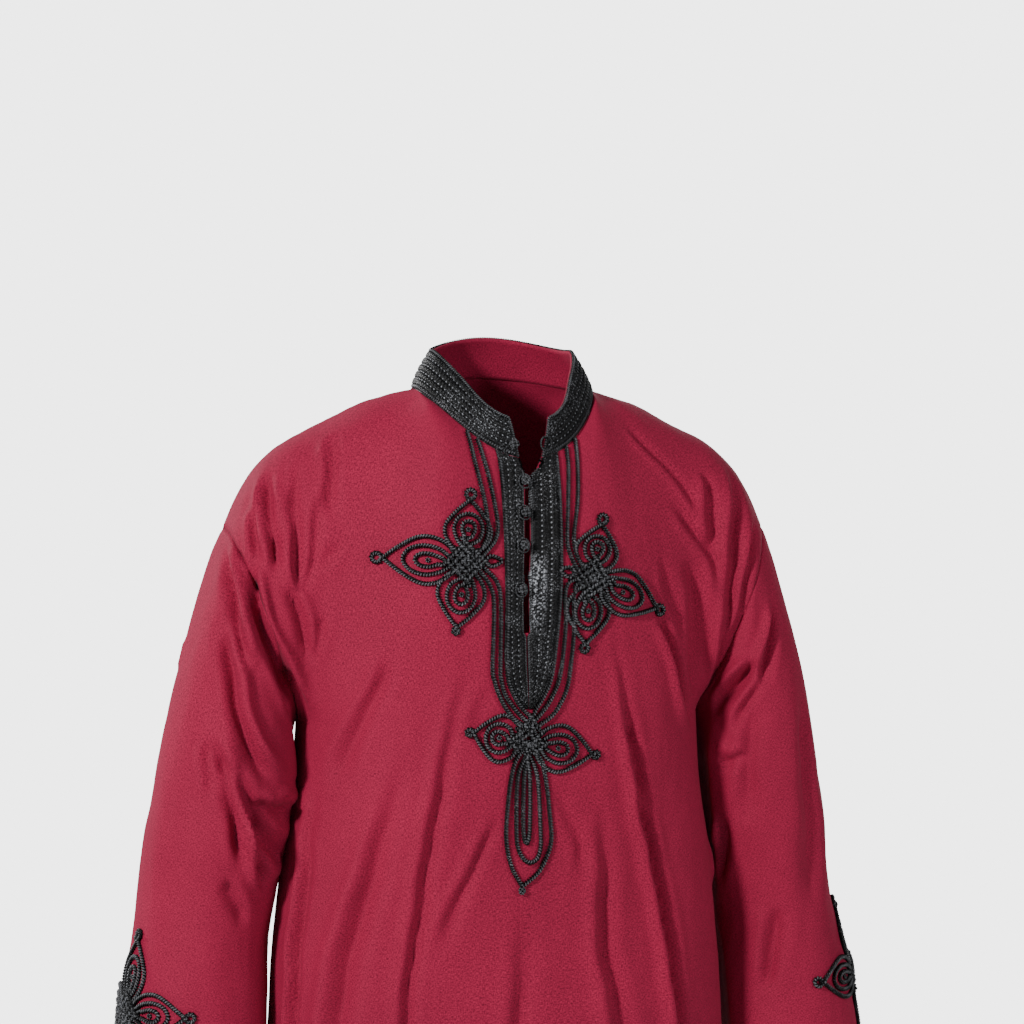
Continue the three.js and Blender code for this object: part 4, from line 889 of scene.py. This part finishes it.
def crossings(lines):
    # Where lines cross each other or themselves: line, place along it, for both lines.
    starts, ends, owner, place = [], [], [], []
    for number, line in enumerate(lines):
        coarse = line[::2]
        starts.append(coarse[:-1])
        ends.append(coarse[1:])
        owner.append(np.full(len(coarse) - 1, number))
        place.append(np.arange(len(coarse) - 1) * 2.0)
    a, b = np.concatenate(starts), np.concatenate(ends)
    owner, place = np.concatenate(owner), np.concatenate(place)
    found = []
    for i in range(len(a)):
        r = b[i] - a[i]
        later = np.arange(i + 1, len(a))
        apart = (owner[later] != owner[i]) | (place[later] - place[i] > 8)
        later = later[(abs(a[later] - a[i]).sum(1) < 6) & apart]
        if not len(later):
            continue
        s = b[later] - a[later]
        w = a[later] - a[i]
        det = r[0] * s[:, 1] - r[1] * s[:, 0]
        det = np.where(abs(det) < 1e-9, 1e-9, det)
        t = (w[:, 0] * s[:, 1] - w[:, 1] * s[:, 0]) / det
        v = (w[:, 0] * r[1] - w[:, 1] * r[0]) / det
        for j in later[(t >= 0) & (t < 1) & (v >= 0) & (v < 1)]:
            found.append((owner[i], place[i], owner[j], place[j]))
    return found


def hops(lines):
    # Height of each line above its lie, so that at the crossings it goes over and under by turns.
    found = crossings(lines)
    along = [sorted([(f[1], k) for k, f in enumerate(found) if f[0] == n]
                    + [(f[3], k) for k, f in enumerate(found) if f[2] == n]) for n in range(len(lines))]
    meeting = {}
    for n, stops in enumerate(along):
        for order, (at, k) in enumerate(stops):
            meeting.setdefault(k, []).append((n, order, at))
    flip = {}
    for begin in range(len(lines)):
        if begin in flip:
            continue
        flip[begin] = 0
        queue = [begin]
        while queue:
            n = queue.pop()
            for order, (at, k) in enumerate(along[n]):
                for other, theirs, _ in meeting[k]:
                    if other != n and other not in flip:
                        flip[other] = (order + flip[n] + 1 + theirs) % 2
                        queue.append(other)
    up = [np.zeros(len(line)) for line in lines]
    for (n, order, at), (other, _, there) in meeting.values():
        top, where = (n, at) if (order + flip[n]) % 2 == 0 else (other, there)
        distance = (np.arange(len(lines[top])) - where) * cordSize["step"] / cordSize["hopLength"]
        up[top] = np.maximum(up[top], cordSize["hop"] * np.exp(-distance ** 2))
    return up


def twisted(points, normals, size, phase=0.0, closed=False):
    # The plies of a cord along a line, each as rows of points round its tube, with a painted highlight
    # for each point.
    if closed:
        t = unit(np.roll(points, -1, axis=0) - np.roll(points, 1, axis=0))
    else:
        t = unit(np.gradient(points, axis=0))
    n = unit(normals - t * (normals * t).sum(-1, keepdims=True))
    b = np.cross(n, t)
    turns = lengths(points) / size["turn"]
    if closed:
        turns = np.arange(len(points)) / len(points) * max(round(turns[-1]), 1)
    around = np.arange(size["sides"]) / size["sides"] * 2 * math.pi
    tubes = []
    for ply in range(2):
        angle = 2 * math.pi * turns + math.pi * ply + phase
        middle = points + size["apart"] * (np.cos(angle)[:, None] * n + np.sin(angle)[:, None] * b)
        ring = np.cos(around)[None, :, None] * n[:, None] + np.sin(around)[None, :, None] * b[:, None]
        tube = middle[:, None] + size["ply"] * ring
        # A painted highlight on the crown of each ply, on the side away from the cloth, lighter colour
        # in place of light caught there.
        paintedGleam = 0.3 * smooth(np.cos(angle - 0.5), 0.55, 0.95)[:, None]
        paintedGleam = paintedGleam * smooth(np.cos(around - 0.3), 0.2, 0.9)[None, :]
        tube = np.concatenate([tube, paintedGleam[..., None]], -1)
        tubes.append(np.concatenate([tube, tube[:1]]) if closed else tube)
    return tubes


def cordObject(name, tubes):
    # One object of all tubes of the same number of sides.
    stacked = np.concatenate(tubes)
    last = np.cumsum([len(t) for t in tubes])[:-1] - 1
    missing = np.zeros((len(stacked) - 1, stacked.shape[1]), bool)
    missing[last] = True
    size = (0.01, len(stacked) * 0.00075)
    return gridObject(name, stacked[..., :3], size, True, missing, stacked[..., 3])


def laidCord(lines, placeAt, phase=0.0):
    # Cords laid on the cloth along plane lines, woven where they cross.
    flats = [spaced(spline(line), cordSize["step"]) for line in lines]
    tubes = []
    for number, (flat, up) in enumerate(zip(flats, hops(flats))):
        points, facing = (np.array(part) for part in zip(*[placeAt(p, q) for p, q in flat]))
        facing = unit(evened(facing, 6))
        points = points + facing * (cordSize["lie"] + up)[:, None]
        tubes += twisted(points, facing, cordSize, phase + number * 1.3)
    return tubes


def axes(knot, quarter):
    # The middle of a knot, the way out along one of its quarters, and the way across that.
    angle = math.radians(knot["turn"] + 90 * quarter)
    a = np.array((math.cos(angle), math.sin(angle)))
    return np.array(knot["middle"], float), a, np.array((-a[1], a[0]))


# The three nested loops of a lobe from the outermost in: the way out, in shares of the length and the
# width of the lobe, and where the loop turns back.
lobeLoops = [
    dict(out=[(0.23, 0.68), (0.40, 0.98), (0.58, 0.97), (0.80, 0.55)], end=1),
    dict(out=[(0.22, 0.50), (0.43, 0.62), (0.63, 0.44)], end=0.72),
    dict(out=[(0.12, 0.16), (0.28, 0.28), (0.43, 0.22)], end=0.49),
]


def petal(knot, quarter, tip, width, tipRing):
    # The lines of one lobe. Their legs cross in the middle of the knot as a lattice, and the outermost
    # makes a small ring at the tip.
    middle, a, b = axes(knot, quarter)
    reach = np.array(tip, float) - middle
    length = float(np.linalg.norm(reach))
    d = reach / length
    e = np.array((-d[1], d[0]))
    turns = [math.radians(k) for k in (222, 270, 318, 0, 42, 90, 138)]
    ring = [(length + 1.2 * tipRing + tipRing * math.cos(k), tipRing * math.sin(k)) for k in turns]
    lines = []
    for n, loop in enumerate(lobeLoops):
        cross = knot["spacing"] * (n + 0.5) * math.sqrt(2)
        start = cross if n else 0
        left = length - start
        legs = [(cross / 2 - 1, -cross / 2 - 1), (cross, 0), (cross + 5 - n, 5 - n)]
        out = [(start + p * left, q * width) for p, q in loop["out"]]
        end = [(start + loop["end"] * left, 0)]
        far = out + (end if n else end + ring + end) + [(p, -q) for p, q in out[::-1]]
        near = [middle + a * p + b * q for p, q in legs]
        back = [middle + a * p - b * q for p, q in legs[::-1]]
        lines.append(near + [middle + d * p + e * q for p, q in far] + back)
    return lines


def leg(knot, quarter, n, side, count=4):
    # The way of a straight line into the lattice of a knot, from outside to its foot.
    middle, a, b = axes(knot, quarter)
    cross = knot["spacing"] * (n + 0.5) * math.sqrt(2)
    way = [(cross + 10, 10), (cross + 5, 5), (cross, 0), (cross / 2 - 1, -cross / 2 - 1)][-count:]
    return [middle + a * p + b * side * q for p, q in way]


def corner(knot, quarter, reach):
    # The short pointed loop that a knot turns to the band of braid.
    up, down = leg(knot, quarter, 2, 1, 2), leg(knot, quarter, 2, -1, 2)
    middle, a, b = axes(knot, quarter)
    out = [(0.62 * reach + 2, 4.2), (0.84 * reach, 3.4), (reach, 0)]
    line = out + [(p, -q) for p, q in out[-2::-1]]
    return up[::-1] + [middle + a * p + b * q for p, q in line] + down


rightKnot = dict(middle=(-58.3, -144), turn=0, spacing=5.0)
leftKnot = dict(middle=(58.2, -160.5), turn=-15, spacing=5.0)
lowKnot = dict(middle=(-4.1, -306.5), turn=-9, spacing=4.6)
# Each lobe: its knot and quarter, its tip, its half width and the radius of the ring at its tip.
chestLobes = [
    (rightKnot, 1, (-52, -89.8), 20.5, 4.2),
    (rightKnot, 2, (-127.5, -141.1), 20.5, 4.2),
    (rightKnot, 3, (-67.5, -202.1), 20.5, 2.6),
    (leftKnot, 1, (70, -113), 19.5, 4.2),
    (leftKnot, 0, (124.3, -189.5), 19.5, 4.2),
    (leftKnot, 3, (50.7, -218.6), 20, 3.6),
    (lowKnot, 2, (-52, -296.5), 20.5, 3.0),
    (lowKnot, 0, (57.5, -318.5), 20.5, 3.0),
]
chestLines = [line for lobe in chestLobes for line in petal(*lobe)]
chestLines += [
    corner(rightKnot, 0, 33),
    corner(leftKnot, 2, 29.5),
    # from under the collar to the upper knots and on to the lowest
    [(-49, -29.5), (-47.2, -43.3), (-45.2, -56.9), (-39.4, -87.8), (-36.9, -109.1), (-38.0, -122.5),
     *leg(rightKnot, 0, 0, 1)],
    [(-40.4, -36), (-37.4, -50.1), (-33.6, -68.4), (-28.7, -100.4), (-27.7, -114.8), (-30.5, -125.3),
     *leg(rightKnot, 0, 1, 1)],
    [*leg(rightKnot, 0, 0, -1)[::-1], (-36.6, -166.4), (-33.6, -183.7), (-35.5, -237.9), (-33.5, -251),
     (-29.5, -263), (-24, -274), (-16.5, -284), *leg(lowKnot, 1, 1, 1, 3)],
    [*leg(rightKnot, 0, 1, -1)[::-1], (-30.2, -163.4), (-27.3, -180.4), (-28.4, -237.9), (-27.8, -249),
     (-24.6, -261.5), (-18, -272.5), (-9.5, -282.5), *leg(lowKnot, 1, 2, 1, 2)],
    [(51.8, -36), (51.6, -42.4), (50.7, -58.8), (47.8, -91.7), (42.9, -120.6), (43.6, -136),
     *leg(leftKnot, 2, 0, -1)],
    [(42, -43), (42, -49.1), (42, -60.7), (39.1, -91.7), (36.6, -120.6), (36.8, -133),
     *leg(leftKnot, 2, 1, -1)],
    [*leg(leftKnot, 2, 1, 1)[::-1], (32.6, -176), (32.5, -201.1), (29, -233.1), (25.8, -250),
     (21, -262), (14.3, -273.5), (6.2, -283), *leg(lowKnot, 1, 2, -1, 2)],
    [*leg(leftKnot, 2, 0, 1)[::-1], (40.6, -177), (40, -208.9), (36.8, -237.9), (33.5, -257),
     (27.5, -271), (18.5, -283), *leg(lowKnot, 1, 1, -1, 3)],
    # down the outer edges of the two bands of braid, to cross below them
    [(-21.6, -53.5), (-20.6, -81), (-20.2, -130), (-20.8, -179), (-22.4, -228), (-21.2, -250),
     (-15.4, -265), (-9, -275), *leg(lowKnot, 1, 3, 1, 2)],
    [(31.3, -50.5), (31.6, -81), (30.4, -130), (27.8, -179), (22, -228), (18, -250), (11.3, -265),
     (4.8, -275), *leg(lowKnot, 1, 3, -1, 2)],
    # the nested loops that hang from the lowest knot
    [(5.2, -301.7), (-11.3, -317.1), (-18, -336), (-22, -372), (-22.4, -395), (-17.6, -417.5),
     (-8.2, -435)],
    [(-10.3, -301.7), (6.1, -317.1), (12.9, -336), (17.7, -374), (18.4, -398), (8.6, -420.5),
     (-8.2, -435)],
    [(2.3, -307.3), (-9.4, -327), (-12.8, -345), (-13.2, -385), (-11.6, -401), (-6.2, -411),
     (0, -413.6), (6, -410), (9, -400), (9, -385), (6.8, -345), (3, -327), (-7.5, -307.3)],
    [(-1.5, -315.1), (-6.2, -335), (-6.9, -384), (-4, -396.5), (-1.1, -384), (-1.2, -335),
     (-5.7, -315.1)],
]

thinCord = dict(ply=0.62, apart=0.55, turn=3.2, sides=6)
curlCord = dict(ply=0.8, apart=0.62, turn=2.7, sides=6)


def onFront(x, z):
    return cast(fineFront, Vector((x, -900, z)), Vector((0, 1, 0)), Vector((x, -100, z)))


def loopRound(place, normal, height, wide=5.2, tall=6.2, size=thinCord, count=40):
    across = unit(np.array((1.0, 0, 0)) - normal * normal[0])
    down = np.cross(across, normal)
    t = np.linspace(0, 2 * math.pi, count, endpoint=False)
    ring = np.cos(t)[:, None] * across * wide + np.sin(t)[:, None] * down * tall
    ring = place + normal * height + ring
    return twisted(ring, np.repeat(normal[None], count, axis=0), size, closed=True)


def curls(lobes, placeAt):
    # The end of the cord curled up inside the innermost loop of each lobe.
    tubes = []
    for knot, _, tip, _, _ in lobes:
        away = np.array(tip, float) - knot["middle"]
        length = float(np.linalg.norm(away))
        cross = knot["spacing"] * 2.5 * math.sqrt(2)
        point, normal = placeAt(*(knot["middle"] + away / length * (cross + 0.29 * (length - cross))))
        tubes += loopRound(point, normal, 1.4, 1.3, 1.3, curlCord)
    return tubes


def beside(up):
    # Two directions square to this one and to each other.
    side = unit(np.cross(up, (0.3, 0.2, 1.0)))
    return side, np.cross(up, side)


def ballKnot(middle, up, radius, size, turn=0.0):
    # A knotted ball: one cord wound over and under itself round a core.
    side, third = beside(up)
    t = np.linspace(0, 2 * math.pi, 96, endpoint=False)
    longitude = 3 * t + turn
    latitude = 0.95 * np.sin(4 * t)
    level = np.cos(latitude)
    out = (level * np.cos(longitude))[:, None] * side + (level * np.sin(longitude))[:, None] * third
    out = out + np.sin(latitude)[:, None] * up
    away = (radius + 0.35 * np.sin(8 * t + 0.6))[:, None]
    return twisted(middle + out * away, out, size, closed=True)


def core(middle, up, radius, sides):
    # The round core inside a knot, as rows of rings from pole to pole.
    side, third = beside(up)
    around = np.arange(sides) / sides * 2 * math.pi
    rows = []
    for latitude in np.linspace(-math.pi / 2, math.pi / 2, 9):
        ring = np.cos(around)[:, None] * side - np.sin(around)[:, None] * third
        rows.append(middle + radius * (math.cos(latitude) * ring + math.sin(latitude) * up))
    return np.concatenate([np.array(rows), np.zeros((9, sides, 1))], -1)


edgeCord = dict(ply=1.0, apart=0.82, turn=4.4, sides=6)


def collarEdge():
    # Cord sewn along the collar's top and down both its ends.
    end, top = 0.997, 0.985
    up = np.linspace(-0.03, top, 40)
    rim = collarPoint(np.linspace(end, -end, 700), top)[1:-1]
    line = np.concatenate([collarPoint(end, up), rim, collarPoint(-end, up[::-1])])
    line = evened(spaced(line, 0.75), 3)
    out = unit(line * (1, 1, 0))
    return twisted(line + 1.3 * out, out, edgeCord)


edging = cordObject("collar_edging_cord", collarEdge())
dress(edging, "collar_braid", cordMaterial)
chestTubes = laidCord(chestLines, onFront)
tipPoint, tipNormal = onFront(-8.5, -439)
chestTubes += curls(chestLobes, onFront)
chestTubes += ballKnot(tipPoint + 2.4 * tipNormal, tipNormal, 2.3, thinCord)
chest = cordObject("cord_chest_twisted", chestTubes)
sewnOn["front"].append(dress(chest, "cord_chest", cordMaterial))
print("chest cord made", len(chest.data.polygons))

cuffKnot = dict(middle=(0, 0), turn=0, spacing=4.6)
cuffTips = {1: (0, 62), 2: (-64, 0), 0: (64, 0)}
cuffLobes = [(cuffKnot, quarter, tip, 18, 3.8) for quarter, tip in cuffTips.items()]
cuffLines = [line for lobe in cuffLobes for line in petal(*lobe)]
cuffStems = [
    [(7.5, -16), (4, -30), (3.2, -50), (3, -97)],
    [(12, -22), (9.2, -34), (8.6, -50), (8.4, -97)],
]
for n, stem in enumerate(cuffStems):
    for side in (1, -1):
        cuffLines.append(leg(cuffKnot, 3, n, side, 3 - n)[::-1] + [(side * p, q) for p, q in stem])
cuff = dict(z=-549, turn=20)


def onSleeve(tree, side):
    def place(p, q):
        z = cuff["z"] + q
        radius = (sizeAt(sleeve, "halfWidth", z) + sizeAt(sleeve, "halfDepth", z)) / 2
        angle = math.radians(cuff["turn"]) + p / radius
        middle = Vector((side * sizeAt(sleeve, "x", z), sizeAt(sleeve, "y", z), z))
        ray = Vector((side * math.cos(angle), -math.sin(angle), 0))
        return cast(tree, middle + ray * 200, -ray, middle + ray * 66)
    return place


for name, side in (("cord_cuff_right", -1), ("cord_cuff_left", 1)):
    panel = "sleeve_right" if side < 0 else "sleeve_left"
    placeAt = onSleeve(cloth.tree(panel), side)
    tubes = laidCord(cuffLines, placeAt)
    tubes += curls(cuffLobes, placeAt)
    sewnOn[panel].append(dress(cordObject(name + "_twisted", tubes), name, cordMaterial))
print("cuff cords made")

bandTop = 3.0  # the height of the braid over the cloth
ballSize = dict(radius=3.0, core=3.2, lift=5.2)
buttonSize = dict(ply=0.85, apart=0.72, turn=4.0, sides=6)
buttons = [(-0.6, -74), (-2.4, -102), (-5, -131), (-8.5, -170)]


def stalk(place, normal, low, high):
    points = place + normal * np.linspace(low, high, 8)[:, None]
    across = unit(np.cross(normal, (0, 0, 1.0)))
    return twisted(points, np.repeat(across[None], 8, axis=0), buttonSize)


def buttonObjects(number, place, normal, loopPlace, loopNormal):
    middle = place + normal * (bandTop + ballSize["lift"])
    knot = ballKnot(middle, normal, ballSize["radius"], buttonSize, number * 0.8)
    knot += [core(middle, normal, ballSize["core"], 6)]
    knot += stalk(place, normal, bandTop - 0.6, bandTop + 2.6)
    dress(cordObject(f"button_{number}_knot", knot), f"button_{number}", cordMaterial)
    loop = loopRound(loopPlace, loopNormal, bandTop + 1.1)
    made = cordObject(f"button_loop_{number}_cord", loop)
    dress(made, f"button_loop_{number}", cordMaterial)


standNormals = gridNormals(stand)
ends = [(stand[8, 2], standNormals[8, 2]), (stand[8, -2], standNormals[8, -2])]
knotEnd = min(ends, key=lambda end: end[0][0])
loopEnd = max(ends, key=lambda end: end[0][0])
loopEnd = (loopEnd[0] + (-3.5, 0, 0), loopEnd[1])  # it stands out over the collar's end
buttonObjects(1, *knotEnd, *loopEnd)
for number, (x, z) in enumerate(buttons):
    point, normal = onFront(x, z)
    buttonObjects(number + 2, point, normal, point, normal)
print("buttons made")

# Floor, light and camera.
view = dict(turn=math.radians(15.5), rise=math.radians(2), away=2.6, aside=0.014, height=-0.1042,
            lens=98.3)


def makeCamera():
    turn, rise = view["turn"], view["rise"]
    aim = Vector((view["aside"] * math.cos(turn), -view["aside"] * math.sin(turn), view["height"]))
    level = math.cos(rise)
    forward = Vector((math.sin(turn) * level, math.cos(turn) * level, -math.sin(rise)))
    data = bpy.data.cameras.new("camera")
    data.lens = view["lens"]
    data.sensor_width = 36
    data.dof.use_dof = False
    camera = bpy.data.objects.new("camera", data)
    camera.location = aim - forward * view["away"]
    camera.rotation_euler = forward.to_track_quat("-Z", "Y").to_euler()
    bpy.context.scene.collection.objects.link(camera)
    bpy.context.scene.camera = camera


lights = dict(
    key=dict(place=(-2.25, -1.7, 0.85), size=0.42, power=108),
    fill=dict(place=(1.7, -2.2, 0.6), size=0.9, power=33),
    back=dict(place=(-1.7, 2.0, 1.2), size=0.7, power=70),
    backFill=dict(place=(1.6, 2.2, 0.6), size=1.2, power=20),
)
lightAim = (0, 0, -0.3)


def makeLight(name, place, size, power):
    data = bpy.data.lights.new(name, "AREA")
    data.shape = "DISK"
    data.size = size
    data.energy = power
    light = bpy.data.objects.new(name, data)
    light.location = place
    light.rotation_euler = (Vector(lightAim) - Vector(place)).to_track_quat("-Z", "Y").to_euler()
    bpy.context.scene.collection.objects.link(light)


ground = dict(z=-1.45, radius=2.4, roughness=0.8)


def makeFloor():
    bm = bmesh.new()
    low = Matrix.Translation((0, 0, ground["z"]))
    bmesh.ops.create_circle(bm, cap_ends=True, segments=96, radius=ground["radius"], matrix=low)
    mesh = bpy.data.meshes.new("floor")
    bm.to_mesh(mesh)
    bm.free()
    floor = bpy.data.objects.new("floor", mesh)
    bpy.context.scene.collection.objects.link(floor)
    material, tree, shader = nodeMaterial("floor_paint")
    tone = threadNoise(tree, tree.nodes.new("ShaderNodeTexCoord").outputs["Object"], 3, 3)
    color = ramp(tree, tone, (0.3, 0.80), (0.7, 0.84))
    fill(tree, shader, {"Base Color": color, "Roughness": ground["roughness"]})
    mesh.materials.append(material)


makeCamera()
makeFloor()
for name, facts in lights.items():
    makeLight(name, **facts)
studio = dict(light=0.28, seen=4.0)
world = bpy.data.worlds.new("studio")
world.use_nodes = True
sky = world.node_tree
seen = sky.nodes.new("ShaderNodeLightPath").outputs["Is Camera Ray"]
strength = add(sky, "MapRange", {"Value": seen, "To Min": studio["light"], "To Max": studio["seen"]})
fill(sky, sky.nodes["Background"], {"Color": (1, 1, 1), "Strength": strength.outputs["Result"]})
bpy.context.scene.world = world

print("done")
